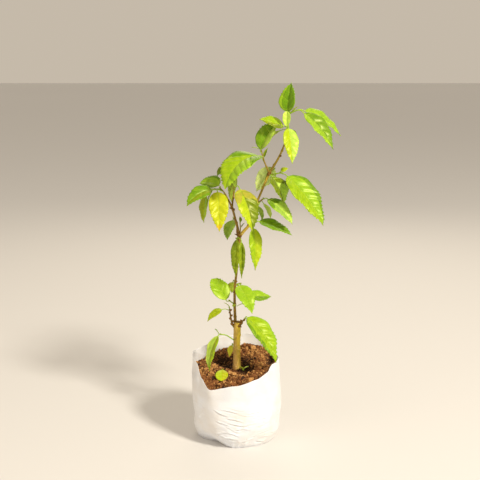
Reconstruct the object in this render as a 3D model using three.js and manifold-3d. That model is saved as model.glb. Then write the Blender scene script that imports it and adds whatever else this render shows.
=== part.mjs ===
// A young hibiscus shrub, rooted from a cutting, in a white film grow bag.
// Millimetres, +Z up. The origin is the middle of the bag's flat underside, +X is to the right
// and -Y is the side that is looked at. The leader grows from a cut woody stem, forks, and each
// group of leaves is one piece: a stem, leaf stalks and folded, arched, toothed blades.

import * as THREE from 'three';
import { mergeVertices } from 'three/addons/utils/BufferGeometryUtils.js';
import Module from 'manifold-3d';

const wasm = await Module();
wasm.setup();

// General values
const CLEARANCE = 0.34;
const MERGE_DISTANCE = 1e-4;
const UP = new THREE.Vector3(0, 0, 1);
const RANDOM = { seedFactor: 2654435761, factor: 1664525, step: 1013904223, range: 2 ** 32 };
const ROUGHNESS = { bark: 0.75, leaf: 0.45, mix: 0.95, film: 0.5 };

// The bag: a tube of film, its foot tucked in, its mouth uneven
const BAG_SIDES = 36;
const BAG_HEIGHT = 135;
const BAG_WALL = 1.2;
const BAG_FOOT_SHIFT = -4;
const BAG_MOUTH_SHIFT = -6;
const BAG_FOOT_OVAL = 0.08;
const BAG_FOOT_SQUARE = 0.05;
const BAG_FOOT_CORNER = -14;
const BAG_FOOT_ZONE = 44;
const BAG_TUCK = { heading: -130, spread: 28, zone: 36, depth: 0.24 };
const BAG_COLOR = 0xf2f0e8;
const BAG_PROFILE = [
  { height: 0, radius: 56 },
  { height: 5, radius: 60 },
  { height: 14, radius: 64.5 },
  { height: 22, radius: 67.5 },
  { height: 32, radius: 69.5 },
  { height: 62, radius: 73 },
  { height: 96, radius: 72.5 },
  { height: BAG_HEIGHT, radius: 71 },
];
const MOUTH = [
  { heading: -180, height: 145 },
  { heading: -156, height: 134 },
  { heading: -138, height: 117 },
  { heading: -121, height: 104 },
  { heading: -90, height: 112 },
  { heading: -60, height: 120 },
  { heading: -42, height: 129 },
  { heading: -24, height: 136 },
  { heading: 10, height: 138 },
  { heading: 50, height: 157 },
  { heading: 72, height: 160 },
  { heading: 100, height: 156 },
  { heading: 135, height: 146 },
  { heading: 158, height: 143 },
];

// The growing mix: a lumpy bowl, low at the front and high at the back
const MIX_FLOOR = 1.6;
const MIX_WALL_GAP = 1.7;
const MIX_MIDDLE = 118;
const MIX_DROP = 12;
const MIX_DROP_BACK = 8.5;
const MIX_DROP_LEFT = 6;
const MIX_RINGS = 5;
const MIX_BOWL = 1.6;
const MIX_RIM_POWER = 4;
const MIX_LUMPS = [
  { height: 1.2, x: 0.21, y: 0.14, phase: 1.3 },
  { height: 0.8, x: -0.12, y: 0.24, phase: 0.4 },
  { height: 0.6, x: 0.47, y: -0.33, phase: 0.7 },
];
const MIX_COLOR = 0x7a4526;
const HEIGHT_TRIES = 20;

// The woody parts
const LIMB_SIDES = 8;
const STEM_FOOT = 119;
const STEM_TOP = 200;
const FORK = 346;
const KNOT = [51, 10, 446];
const KNOB = [82, 4, 545];
const LIMBS = [
  { name: 'cut_stem', sides: 12, steps: 6, color: 0x8a7a52,
    points: [[-1.5, 0, STEM_FOOT], [-1.4, 0, 140], [-1, 0, 170], [-0.5, 0, STEM_TOP]],
    radii: [7, 6, 5.8, 5.9, 6.1] },
  { name: 'leader', sides: LIMB_SIDES, steps: 14, color: 0x7a5a38,
    points: [[-3.6, 0, STEM_TOP - 3], [-4.6, 0, 220], [-4.7, 1, 253], [-1.6, 1, 285], [1, 0, 318], [3, 0, FORK]],
    radii: [2.5, 2.2, 2, 1.9, 2, 3.4] },
  { name: 'left_bough', sides: LIMB_SIDES, steps: 8, color: 0x6b4a30,
    points: [[1.6, 0, FORK - 1], [0, -1, 358], [-4, -2, 374], [-9, -4, 392], [-15, -7, 405]],
    radii: [2.6, 2.1, 1.8, 1.8, 1.4] },
  { name: 'middle_bough', sides: 6, steps: 5, color: 0x6b4a30,
    points: [[-8.5, -4, 390], [-8, 0, 399], [-6.5, 3, 410], [-6, 4, 417]],
    radii: [1.4, 1.3, 1.2] },
  { name: 'right_bough', sides: LIMB_SIDES, steps: 10, color: 0x7d6a35,
    points: [[4, 0, FORK - 1], [10, 1, 352], [18, 2, 361], [26, 3, 380], [31, 4, 398], [39, 7, 417], KNOT],
    radii: [2.6, 2.3, 2, 1.8, 1.8, 2.6] },
  { name: 'upper_bough', sides: LIMB_SIDES, steps: 8, color: 0x806a35,
    points: [KNOT, [59, 12, 458], [68, 11, 474], [76, 9, 494], [80, 7, 512]],
    radii: [2.2, 1.8, 1.6, 1.5, 1.4] },
];

// Leaves
const LEAF_THICKNESS = 1.1;
const SMALL_LEAF = 58;
const TOOTH_SPACING = 8;
const TOOTH_DEPTH = 0.05;
const TIP_HALF_WIDTH = 0.5;
const FOOT_POWER = 0.6;
const USUAL_TAPER = 1.1;
const USUAL_BEND = 30;
const USUAL_FOLD = 14;
const STALK_RADII = [1, 0.9, 0.9, 0.72];
const STALK_SIDES = 5;
const STALK_STEPS = 4;
const STALK_REACH = 0.14;
const STALK_ARRIVAL = 0.35;
const TWIG_SIDES = 6;
const TWIG_STEPS = 5;
const GREEN = { deep: 0x4f8f1c, mid: 0x74b51f, lime: 0xa4d41f, yellow: 0xe3d92a, grey: 0x8fa86a };

// Leaves that the front ones hide are set out by a seeded rule
const BACK_FROM = { low: 0.3, high: 0.7 };
const BACK_LENGTH = { low: 37.4, high: 50.6 };
const BACK_WIDTH_SHARE = 0.48;
const BACK_SPREAD = 8;
const BACK_PITCH = -42;
const BACK_BEND = 40;
const BACK_STALK = 15;

// Each spray: its own stem, from a point on the limb that carries it, and its leaves. A leaf has
// the place of the blade's foot, the heading and pitch of its chord in degrees, and its size.
const SPRAYS = [
  { name: 'top_spray', color: GREEN.lime, radii: [1.4, 1.2, 1.5],
    stem: [[80, 7, 510], [81, 6, 524], [82, 4, 535], KNOB], back: { seed: 11, headings: [84], drop: 12 },
    leaves: [
      { from: 0.55, base: [80, 1, 545], heading: 54, pitch: 78, length: 47, width: 31, bend: 18, fold: 24 },
      { from: 0.3, base: [78, -4, 522.5], heading: 84, pitch: 84, length: 24, width: 13, bend: 10, taper: 0.5 },
      { from: 0.9, base: [106, -10, 543], heading: -23, pitch: -49, length: 74, width: 33, bend: 34, roll: 24 },
      { from: 0.95, base: [108, 2, 546], heading: 12, pitch: -34, length: 73, width: 30, bend: 34, roll: 30 },
      { from: 0.3, base: [81, -5, 519], heading: -72, pitch: -71, length: 58, width: 26, bend: 30 },
      { from: 0.4, base: [73, -3, 523], heading: -155, pitch: 15, length: 44, width: 26, bend: 8, roll: -42 },
      { from: 0.2, base: [70, 11, 515], heading: 145, pitch: -35, length: 22, width: 13 },
      { from: 1, base: [87, -1, 545], heading: 20, pitch: 40, length: 13, width: 7 },
    ] },
  { name: 'arching_spray', color: GREEN.mid, radii: [1.5, 1.2, 1],
    stem: [KNOT, [47, 6, 456], [43, 1, 466], [40, -3, 476], [38, -4, 484]],
    back: { seed: 5, headings: [160], drop: -10 },
    leaves: [
      { from: 0.75, base: [34, -11, 476], heading: -141, pitch: -35, length: 91, width: 55, bend: 84, roll: -12,
        fold: 9, taper: 0.9 },
      { from: 0.9, base: [37, -7, 486], heading: 14, pitch: 58, length: 47, width: 30, bend: 24, roll: 40,
        fold: 35, taper: 0.7 },
      { from: 0.6, base: [43, 4, 473], heading: 40, pitch: 62, length: 16, width: 7 },
      { from: 1, base: [34, -4, 487], heading: 175, pitch: 8, length: 12, width: 7 },
    ] },
  { name: 'left_spray', color: GREEN.deep, radii: [1.3, 1.1, 0.9],
    stem: [[-14.5, -7, 404], [-19, -8, 413], [-24, -8, 420], [-28, -8, 424]],
    back: { seed: 3, headings: [114], drop: 2 },
    leaves: [
      { from: 1, base: [-30, 0, 427], heading: 152, pitch: 2, length: 38, width: 30, bend: 50, roll: -34 },
      { from: 0.9, base: [-41, -15, 422], heading: -153, pitch: -28, length: 52, width: 27, bend: 58, roll: -36 },
      { from: 0.8, base: [-51, -6, 412], heading: -125, pitch: -82, length: 45, width: 24, bend: 20, roll: 20 },
      { from: 0.85, base: [-42, 2, 416], heading: 176, pitch: -72, length: 22, width: 11 },
      { from: 0.7, base: [-32, -17, 419], heading: -82, pitch: -68, length: 66, width: 32, bend: 34 },
    ] },
  { name: 'middle_spray', color: GREEN.lime, radii: [1.2, 1.1, 0.9],
    stem: [[-6, 4, 416], [-6, 4, 420], [-5.5, 5, 424]], back: { seed: 9, headings: [48], drop: 18 },
    leaves: [
      { from: 0.35, base: [4, -16, 423], heading: -56, pitch: -61, length: 74, width: 41, bend: 44, fold: 8 },
      { from: 1, base: [-3, 12, 438], heading: 138, pitch: -77, length: 42, width: 20, bend: 24 },
    ] },
  { name: 'inner_spray', color: GREEN.mid, radii: [1.4, 1.2, 0.9],
    stem: [[31, 4, 398], [36, 2, 401], [41, -2, 405]],
    leaves: [
      { from: 1, base: [49, -9, 406], heading: -30, pitch: -40, length: 59, width: 30, bend: 34, roll: 16 },
      { from: 0.8, base: [43, 18, 395], heading: 30, pitch: -64, length: 30, width: 18 },
      { from: 0.55, base: [35, -9, 370], heading: -11, pitch: -21, length: 58, width: 27, bend: 20, roll: 24 },
    ] },
  { name: 'inner_leaf', color: GREEN.deep, radii: [1.2, 1, 0.8],
    stem: [[29, 4, 391], [31, 9, 394], [33, 13, 394]],
    leaves: [
      { from: 1, base: [34, 16, 391], heading: 42, pitch: -71, length: 28, width: 12 },
    ] },
  { name: 'drooping_leaf', color: GREEN.lime, radii: [1.2, 1, 0.8],
    stem: [[20, 2, 366], [22, 6, 366], [24, 8, 362]],
    leaves: [
      { from: 1, base: [26, 7, 356], heading: -63, pitch: -85, length: 70, width: 24, bend: 26 },
    ] },
  { name: 'right_spray', color: GREEN.lime, radii: [1.5, 1.3, 1],
    stem: [KNOT, [56, 7, 444], [62, 2, 446], [69, -3, 448]], back: { seed: 7, headings: [58], drop: 10 },
    leaves: [
      { from: 0.3, base: [56, -1, 441], heading: -46, pitch: -57, length: 49, width: 34, bend: 40, fold: 26 },
      { from: 1, base: [80, -8, 443], heading: -31, pitch: -49, length: 100, width: 49, bend: 28, roll: 20 },
      { from: 0.8, base: [70, 2, 450], heading: 10, pitch: 20, length: 13, width: 8, roll: 60 },
    ] },
  { name: 'knot_leaf', color: GREEN.grey, radii: [1.3, 1.1, 0.9],
    stem: [[51, 11, 446], [53, 15, 450], [55, 18, 452]],
    leaves: [
      { from: 1, base: [60, 20, 452], heading: 172, pitch: -52, length: 48, width: 32, bend: 20, roll: 62 },
    ] },
  { name: 'fork_shoot', color: GREEN.mid, radii: [1.1, 1, 0.8],
    stem: [[4, -1, 347], [4.5, -5, 358], [4, -5, 367]],
    leaves: [
      { from: 1, base: [5, -6, 369], heading: 110, pitch: 66, length: 9, width: 5 },
      { from: 0.6, base: [6, -6, 360], heading: 15, pitch: 50, length: 9, width: 5 },
    ] },
  { name: 'fork_pair', color: GREEN.deep, radii: [1.2, 1.1, 1],
    stem: [[2.6, 0, 341], [2.2, -4, 343], [2, -7, 343]],
    leaves: [
      { from: 0.8, base: [-1, -9, 340], heading: -110, pitch: -84, length: 61, width: 16, bend: 16, fold: 26 },
      { from: 1, base: [6, -8, 336], heading: -80, pitch: -87, length: 60, width: 12, bend: 12, fold: 26 },
    ] },
  { name: 'low_left_leaf', color: GREEN.deep, radii: [1.1, 1, 0.8],
    stem: [[-2, -1, 366], [-4, 5, 371], [-6, 10, 371]],
    leaves: [
      { from: 1, base: [-8, 14, 368], heading: 122, pitch: -64, length: 40, width: 22, bend: 30 },
    ] },
  { name: 'leader_left_leaf', color: GREEN.mid, radii: [1.1, 1, 0.9],
    stem: [[-4.7, 0, 229], [-9, -1, 233], [-13, -2, 236]],
    leaves: [
      { from: 1, base: [-19, -3, 238], heading: 140, pitch: 44, length: 45, width: 30, bend: 26, roll: -28,
        taper: 0.75 },
      { from: 0.2, base: [-6.5, -5, 227], heading: -75, pitch: 40, length: 10, width: 6 },
    ] },
  { name: 'leader_bud_leaf', color: GREEN.yellow, radii: [1, 0.9, 0.8],
    stem: [[-3.4, 1, 265], [-5, 4, 268], [-6, 7, 268]],
    leaves: [
      { from: 1, base: [-8, 10, 265], heading: 100, pitch: -66, length: 23, width: 15 },
    ] },
  { name: 'leader_right_leaves', color: GREEN.mid, radii: [1.2, 1.1, 0.9],
    stem: [[-4, 1, 260], [0, 1, 264], [4, 0, 265]], back: { seed: 8, headings: [55], drop: 14 },
    leaves: [
      { from: 0.9, base: [2, -6, 263], heading: -56, pitch: -45, length: 56, width: 30, bend: 32, roll: 10 },
      { from: 1, base: [19, 9, 241], heading: 29, pitch: -8, length: 43, width: 23, bend: 8, roll: 40 },
    ] },
  { name: 'stump_left_shoot', color: GREEN.mid, radii: [1.8, 1.5, 1],
    stem: [[-3, -1, 188], [-8, -2, 195], [-11, -3, 206], [-12.5, -4, 218], [-13, -4, 224]],
    leaves: [
      { from: 0.9, base: [-26, -10, 223], heading: -165, pitch: -37, length: 31, width: 12, bend: 50,
        roll: -48 },
      { from: 1, base: [-13.5, -5, 227], heading: -160, pitch: 40, length: 12, width: 6 },
    ] },
  { name: 'stump_right_shoot', color: GREEN.lime, radii: [1.6, 1.3, 1.1],
    stem: [[0, -1, 190], [6, -4, 197], [9, -8, 204], [12, -13, 209]],
    leaves: [
      { from: 1, base: [16, -17, 212], heading: -30, pitch: -52, length: 89, width: 40, bend: 44, roll: 16 },
    ] },
  { name: 'low_hanging_leaf', color: GREEN.mid, radii: [1.2, 1, 0.9],
    stem: [[-1, 0, 166], [-9, -5, 172], [-18, -12, 180], [-27, -19, 184]],
    leaves: [
      { from: 1, base: [-32, -22, 182], heading: -140, pitch: -72, length: 61, width: 22, bend: 46 },
    ] },
  { name: 'basal_back_sprout', color: GREEN.yellow, radii: [1.1, 1, 0.8],
    stem: [[-2, 0, 150], [-6, 7, 156], [-8, 10, 157.5]],
    leaves: [
      { from: 1, base: [-9.5, 12, 156], heading: -120, pitch: -66, length: 20, width: 11 },
    ] },
  { name: 'basal_front_sprout', color: GREEN.yellow, radii: [1, 0.9, 0.7],
    stem: [[0, 0, 122], [5, -6, 123], [8, -9, 122]],
    leaves: [
      { from: 0.9, base: [8, -11, 122.5], heading: -120, pitch: 34, length: 10, width: 6 },
      { from: 1, base: [10, -10, 122], heading: -10, pitch: 30, length: 10, width: 6 },
    ] },
  { name: 'low_round_leaf', color: GREEN.yellow, radii: [1.1, 1, 0.9],
    stem: [[-22, -12, 116.4], [-22.6, -13, 120], [-24, -16, 122]],
    leaves: [
      { from: 1, base: [-25.5, -20, 123], heading: -92, pitch: -24, length: 26, width: 21, bend: 16, fold: 6,
        taper: 0.6 },
    ] },
];

// Flat seats pressed into the mix, for the cut stem and for the stalk of the low round leaf
const STEM_SEAT = { x: -1.5, y: 0, radius: 11, height: STEM_FOOT };
const STALK_SEAT = { x: -22, y: -12, radius: 4, height: 116 };
const SEAT_DEPTH = 30;
const SEAT_SIDES = 24;

const radians = THREE.MathUtils.degToRad;

// Repeatable random numbers from low to high
function seededRandom(seed) {
  let state = seed * RANDOM.seedFactor % RANDOM.range;
  return (low, high) => {
    state = (state * RANDOM.factor + RANDOM.step) % RANDOM.range;
    return low + (high - low) * state / RANDOM.range;
  };
}

function vector(place) {
  return new THREE.Vector3(place[0], place[1], place[2]);
}

function curveThrough(places) {
  return new THREE.CatmullRomCurve3(places.map(vector), false, 'centripetal');
}

// Reads a list of evenly spaced values at a fraction of its length
function valueAt(values, fraction) {
  const position = fraction * (values.length - 1);
  const index = Math.min(Math.floor(position), values.length - 2);
  return THREE.MathUtils.lerp(values[index], values[index + 1], position - index);
}

// A closed body from a three.js geometry
function body(geometry) {
  geometry.deleteAttribute('normal');
  geometry.deleteAttribute('uv');
  const merged = mergeVertices(geometry, MERGE_DISTANCE);
  return new wasm.Manifold(new wasm.Mesh({
    numProp: 3,
    vertProperties: merged.getAttribute('position').array,
    triVerts: Uint32Array.from(merged.index.array),
  }));
}

function geometryOf(manifold) {
  const { vertProperties, triVerts } = manifold.getMesh();
  const geometry = new THREE.BufferGeometry();
  geometry.setAttribute('position', new THREE.BufferAttribute(vertProperties, 3));
  geometry.setIndex(new THREE.BufferAttribute(triVerts, 1));
  geometry.computeVertexNormals();
  return geometry;
}

// Moves every vertex of a geometry by a rule
function reshape(geometry, rule) {
  const position = geometry.getAttribute('position');
  const point = new THREE.Vector3();
  for (let i = 0; i < position.count; i += 1) {
    point.fromBufferAttribute(position, i);
    rule(point);
    position.setXYZ(i, point.x, point.y, point.z);
  }
  return geometry;
}

// A tapering round limb: a cylinder bent along a smooth curve, grown by a margin where asked
function limbBody({ points, radii, sides, steps }, margin = 0) {
  const curve = curveThrough(points);
  const frames = curve.computeFrenetFrames(steps, false);
  const geometry = new THREE.CylinderGeometry(1, 1, 1, sides, steps);
  return body(reshape(geometry, (point) => {
    const station = Math.round((point.y + 0.5) * steps);
    const fraction = station / steps;
    const radius = valueAt(radii, fraction) + margin;
    const across = point.x * radius;
    const along = -point.z * radius;
    point.copy(curve.getPointAt(fraction));
    point.addScaledVector(frames.normals[station], across);
    point.addScaledVector(frames.binormals[station], along);
    point.addScaledVector(frames.tangents[station], (Math.sign(fraction - 0.5)) * margin);
  }));
}

// Half the blade's width from its foot, 0, to its tip, 1
function bladeHalfWidth(fraction, width, taper) {
  const widest = FOOT_POWER / (FOOT_POWER + taper);
  const rise = (fraction / widest) ** FOOT_POWER;
  const fall = ((1 - fraction) / (1 - widest)) ** taper;
  return Math.max(TIP_HALF_WIDTH, width / 2 * rise * fall);
}

// The arched midrib of a blade: place and direction at a fraction of its length
function midrib({ base, heading, pitch, length, bend = USUAL_BEND }, fraction) {
  const start = radians(pitch + bend / 2);
  const turn = radians(bend);
  const now = start - turn * fraction;
  const run = length / turn * (Math.sin(start) - Math.sin(now));
  const rise = length / turn * (Math.cos(now) - Math.cos(start));
  const forward = new THREE.Vector3(Math.cos(radians(heading)), Math.sin(radians(heading)), 0);
  const place = vector(base).addScaledVector(forward, run).addScaledVector(UP, rise);
  const direction = forward.clone().multiplyScalar(Math.cos(now)).addScaledVector(UP, Math.sin(now));
  return { place, direction };
}

function bladeBody(leaf) {
  const { heading, length, width, roll = 0, fold = USUAL_FOLD, taper = USUAL_TAPER } = leaf;
  const rows = Math.max(3, Math.round(length / TOOTH_SPACING));
  const columns = length < SMALL_LEAF ? 2 : 4;
  const geometry = new THREE.BoxGeometry(2, 1, LEAF_THICKNESS, columns, rows, 1);
  return body(reshape(geometry, (point) => {
    const row = Math.round((point.y + 0.5) * rows);
    const { place, direction } = midrib(leaf, row / rows);
    const inside = row > 1 && row < rows;
    const tooth = inside ? 1 + TOOTH_DEPTH * (row % 2 === 0 ? 1 : -1) : 1;
    const left = new THREE.Vector3(-Math.sin(radians(heading)), Math.cos(radians(heading)), 0);
    left.applyAxisAngle(direction, radians(roll));
    const face = direction.clone().cross(left);
    const side = -point.x * bladeHalfWidth(row / rows, width, taper) * tooth;
    const lift = Math.abs(side) * Math.tan(radians(fold)) + point.z;
    point.copy(place).addScaledVector(left, side).addScaledVector(face, lift);
  }));
}

// A leaf stalk from a place on the stem into the foot of the blade
function stalkBody(from, leaf) {
  const foot = midrib(leaf, 0);
  const inside = midrib(leaf, STALK_REACH).place;
  const reach = from.distanceTo(foot.place);
  const before = foot.place.clone().addScaledVector(foot.direction, -STALK_ARRIVAL * reach);
  const points = [from, before, foot.place, inside].map((place) => place.toArray());
  return limbBody({ points, radii: STALK_RADII, sides: STALK_SIDES, steps: STALK_STEPS });
}

function bodiesOfLeaf(curve, leaf) {
  return [stalkBody(curve.getPointAt(leaf.from), leaf), bladeBody(leaf)];
}

// Leaves on the far side of a spray, set out by the seeded rule
function backLeaves({ stem, back }) {
  if (!back) return [];
  const random = seededRandom(back.seed);
  const curve = curveThrough(stem);
  return back.headings.map((middle) => {
    const from = random(BACK_FROM.low, BACK_FROM.high);
    const heading = random(middle - BACK_SPREAD, middle + BACK_SPREAD);
    const length = random(BACK_LENGTH.low, BACK_LENGTH.high);
    const width = length * BACK_WIDTH_SHARE;
    const base = curve.getPointAt(from);
    base.x += BACK_STALK * Math.cos(radians(heading));
    base.y += BACK_STALK * Math.sin(radians(heading));
    base.z -= back.drop;
    return { from, base: base.toArray(), heading, pitch: BACK_PITCH, length, width, bend: BACK_BEND };
  });
}

// Drops the loose scraps that a cut can leave
function largest(manifold) {
  const pieces = manifold.decompose();
  return pieces.reduce((best, piece) => (piece.volume() > best.volume() ? piece : best));
}

function touches(one, others) {
  return others.some((other) => !one.intersect(other).isEmpty());
}

// A spray is its stem and every leaf that keeps clear of the limbs and of the sprays made before
function sprayBody(spray, limbZones, neighbours) {
  const curve = curveThrough(spray.stem);
  const stem = limbBody({ points: spray.stem, radii: spray.radii, sides: TWIG_SIDES, steps: TWIG_STEPS });
  const leaves = [...spray.leaves, ...backLeaves(spray)].map((leaf) => bodiesOfLeaf(curve, leaf));
  const kept = leaves.filter(([, blade]) => !touches(blade, [...limbZones, ...neighbours]));
  const joined = kept.flat().reduce((whole, piece) => whole.add(piece), stem);
  return largest(limbZones.reduce((rest, zone) => rest.subtract(zone), joined));
}

// The height of the bag's mouth in a direction, eased from one station to the next
function mouthHeight(heading) {
  const stations = [...MOUTH, { heading: MOUTH[0].heading + 360, height: MOUTH[0].height }];
  const next = Math.max(1, stations.findIndex((station) => station.heading >= heading));
  const low = stations[next - 1];
  const high = stations[next];
  const fraction = (heading - low.heading) / (high.heading - low.heading);
  return THREE.MathUtils.lerp(low.height, high.height, THREE.MathUtils.smoothstep(fraction, 0, 1));
}

function wallRadius(height) {
  const next = Math.max(1, BAG_PROFILE.findIndex((row) => row.height >= height));
  const low = BAG_PROFILE[next - 1];
  const high = BAG_PROFILE[next];
  return THREE.MathUtils.mapLinear(height, low.height, high.height, low.radius, high.radius);
}

// How the round tube of film is really shaped: oval, squarish, tucked foot and uneven mouth
function bagShape(point) {
  const heading = THREE.MathUtils.radToDeg(Math.atan2(point.y, point.x));
  const foot = 1 - Math.min(point.z / BAG_FOOT_ZONE, 1);
  const turned = radians(heading - BAG_FOOT_CORNER);
  const oval = BAG_FOOT_OVAL * Math.cos(2 * turned);
  const square = BAG_FOOT_SQUARE * Math.cos(4 * turned);
  const fromTuck = THREE.MathUtils.euclideanModulo(heading - BAG_TUCK.heading + 180, 360) - 180;
  const tuckZone = (1 - Math.min(point.z / BAG_TUCK.zone, 1)) ** 2;
  const tuck = BAG_TUCK.depth * tuckZone * Math.exp(-((fromTuck / BAG_TUCK.spread) ** 2));
  const swell = 1 + foot * (oval + square) - tuck;
  const rise = point.z / BAG_HEIGHT;
  point.x = point.x * swell + foot * BAG_FOOT_SHIFT + rise * rise * BAG_MOUTH_SHIFT;
  point.y *= swell;
  point.z *= 1 + (mouthHeight(heading) / BAG_HEIGHT - 1) * rise * rise;
}

function turned(profile) {
  const points = profile.map(([radius, height]) => new THREE.Vector2(radius, height));
  return new THREE.LatheGeometry(points, BAG_SIDES).rotateX(Math.PI / 2);
}

function bagBody() {
  const outside = BAG_PROFILE.map(({ height, radius }) => [radius, height]);
  const rows = BAG_PROFILE.slice(1).map(({ height, radius }) => [radius - BAG_WALL, height]);
  const inside = [[0, BAG_WALL], [wallRadius(BAG_WALL) - BAG_WALL, BAG_WALL], ...rows].reverse();
  return body(reshape(turned([[0, 0], ...outside, ...inside]), bagShape));
}

function lumpHeight(x, y) {
  const waves = MIX_LUMPS.map((lump) => lump.height * Math.sin(x * lump.x + y * lump.y + lump.phase));
  return waves.reduce((sum, wave) => sum + wave, 0);
}

// The height on the round tube that the bag's shape lifts to a wanted height
function heightBeforeShape(wanted, heading) {
  const stretch = mouthHeight(heading) / BAG_HEIGHT - 1;
  let height = wanted;
  for (let i = 0; i < HEIGHT_TRIES; i += 1) {
    height = wanted / (1 + stretch * (height / BAG_HEIGHT) ** 2);
  }
  return height;
}

// The place on the mix's rim in a direction: a little inside the film, below the mouth
function mixRim(heading) {
  const drop = MIX_DROP + MIX_DROP_BACK * Math.sin(heading) - MIX_DROP_LEFT * Math.cos(heading);
  const degrees = THREE.MathUtils.radToDeg(heading);
  const top = mouthHeight(degrees) - drop;
  const height = heightBeforeShape(top, degrees);
  const rim = new THREE.Vector3(Math.cos(heading), Math.sin(heading), 0);
  rim.multiplyScalar(wallRadius(height) - BAG_WALL - MIX_WALL_GAP).setZ(height);
  bagShape(rim);
  return rim;
}

// The growing mix fills the bag up to a bowl-shaped, lumpy top
function mixBody() {
  const reach = BAG_WALL + MIX_WALL_GAP;
  const edge = wallRadius(BAG_HEIGHT) - reach;
  const foot = [[0, MIX_FLOOR], [wallRadius(MIX_FLOOR) - reach - CLEARANCE, MIX_FLOOR]];
  const side = BAG_PROFILE.slice(1).map(({ height, radius }) => [radius - reach, height]);
  const rings = Array.from({ length: MIX_RINGS }, (_, i) => [edge * (1 - (i + 1) / MIX_RINGS), BAG_HEIGHT]);
  return body(reshape(turned([...foot, ...side, ...rings]), (point) => {
    if (point.z < BAG_HEIGHT) {
      bagShape(point);
      return;
    }
    const rim = mixRim(Math.atan2(point.y, point.x));
    const fraction = Math.hypot(point.x, point.y) / edge;
    const bowl = MIX_MIDDLE + (rim.z - MIX_MIDDLE) * fraction ** MIX_BOWL;
    point.x = rim.x * fraction + BAG_MOUTH_SHIFT * (1 - fraction);
    point.y = rim.y * fraction;
    point.z = bowl + lumpHeight(point.x, point.y) * (1 - fraction ** MIX_RIM_POWER);
  }));
}

function drum(seat, low, high) {
  const geometry = new THREE.CylinderGeometry(seat.radius, seat.radius, high - low, SEAT_SIDES);
  return body(geometry.rotateX(Math.PI / 2).translate(seat.x, seat.y, (low + high) / 2));
}

// Presses a flat seat into the mix: filled just below the seat's height and cleared above it
function seated(mix, seat) {
  const top = seat.height - CLEARANCE;
  return mix.add(drum(seat, top - SEAT_DEPTH, top)).subtract(drum(seat, top, top + SEAT_DEPTH));
}

const plant = new THREE.Group();
plant.name = 'hibiscus_in_grow_bag';

function addPiece(name, manifold, color, roughness) {
  const material = new THREE.MeshStandardMaterial({ color, roughness, metalness: 0 });
  const mesh = new THREE.Mesh(geometryOf(manifold), material);
  mesh.name = name;
  plant.add(mesh);
}

// Limbs, each cut clear of the ones it grows from
const limbZones = [];
for (const limb of LIMBS) {
  const whole = limbBody(limb);
  const cut = limbZones.reduce((rest, zone) => rest.subtract(zone), whole);
  limbZones.push(limbBody(limb, CLEARANCE));
  addPiece(limb.name, cut, limb.color, ROUGHNESS.bark);
}

// Sprays of leaves
const sprays = [];
for (const spray of SPRAYS) {
  const manifold = sprayBody(spray, limbZones, sprays);
  sprays.push(manifold);
  addPiece(spray.name, manifold, spray.color, ROUGHNESS.leaf);
}

// The bag and its filling
addPiece('growing_mix', [STEM_SEAT, STALK_SEAT].reduce(seated, mixBody()), MIX_COLOR, ROUGHNESS.mix);
addPiece('grow_bag', bagBody(), BAG_COLOR, ROUGHNESS.film);

export default plant;
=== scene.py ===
# %% [markdown]
# # A young hibiscus shrub in a film grow bag
# The plant is a thick woody cutting that has thrown a slim leader, which forks and carries long-stalked,
# toothed leaves. It stands in a white film bag of brown coir. The solids come in as a fixed frame. Every
# piece made here takes the place of one of them, at the same place and size, with a finer surface.

# %% Load the frame
import math
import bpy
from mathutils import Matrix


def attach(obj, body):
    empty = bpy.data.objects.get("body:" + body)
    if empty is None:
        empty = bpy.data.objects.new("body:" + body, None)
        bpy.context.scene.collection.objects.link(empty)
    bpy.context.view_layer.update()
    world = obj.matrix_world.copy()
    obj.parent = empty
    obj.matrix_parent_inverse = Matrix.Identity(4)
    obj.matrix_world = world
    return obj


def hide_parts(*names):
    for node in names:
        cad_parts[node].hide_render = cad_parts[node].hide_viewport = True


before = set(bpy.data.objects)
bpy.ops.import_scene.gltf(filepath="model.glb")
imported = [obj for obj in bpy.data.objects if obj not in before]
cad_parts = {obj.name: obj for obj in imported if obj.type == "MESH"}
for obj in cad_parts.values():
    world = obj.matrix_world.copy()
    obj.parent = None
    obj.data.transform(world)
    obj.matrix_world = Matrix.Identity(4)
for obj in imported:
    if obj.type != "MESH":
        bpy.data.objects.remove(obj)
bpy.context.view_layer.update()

from types import SimpleNamespace

import bmesh
import bpy
import numpy as np
from mathutils import Vector, noise

MM = 0.001
print("frame nodes:", len(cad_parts))

# %% [markdown]
# ## Camera
# The picture was taken from about a metre and a half away, a little higher than the plant's top, looking
# slightly down. A long lens keeps the bag's mouth a flat ellipse. The place of the camera was worked out
# from how open that ellipse is and from how tall the plant stands in the picture.

# %% Camera
CAMERA_PLACE = (0.004, -1.523, 0.620)
CAMERA_TILT_DOWN = 10.5
LENS_MM, SENSOR_MM = 71.25, 36.0


def add_object(name, data):
    made = bpy.data.objects.new(name, data)
    bpy.context.collection.objects.link(made)
    return made


camera = add_object("photo_camera", bpy.data.cameras.new("photo_camera"))
camera.data.lens = LENS_MM
camera.data.sensor_width = SENSOR_MM
camera.location = CAMERA_PLACE
camera.rotation_euler = (math.radians(90 - CAMERA_TILT_DOWN), 0, 0)
bpy.context.scene.camera = camera
print("camera looks", CAMERA_TILT_DOWN, "degrees down from", CAMERA_PLACE)

# %% [markdown]
# ## Colours and materials
# Colours are written as sRGB hex values, the way a colour picker shows them, and the shaders want linear
# light. One function turns one into the other. A small class adds the nodes that every material needs, so
# that each material below reads as a short list of steps.

# %% Helpers for colours and materials
def split_hex(colour):
    return [colour >> shift & 255 for shift in (16, 8, 0)]


def linear(colour):
    shares = [channel / 255 for channel in split_hex(colour)]
    return (*(s / 12.92 if s <= 0.04045 else ((s + 0.055) / 1.055) ** 2.4 for s in shares), 1.0)


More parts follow.
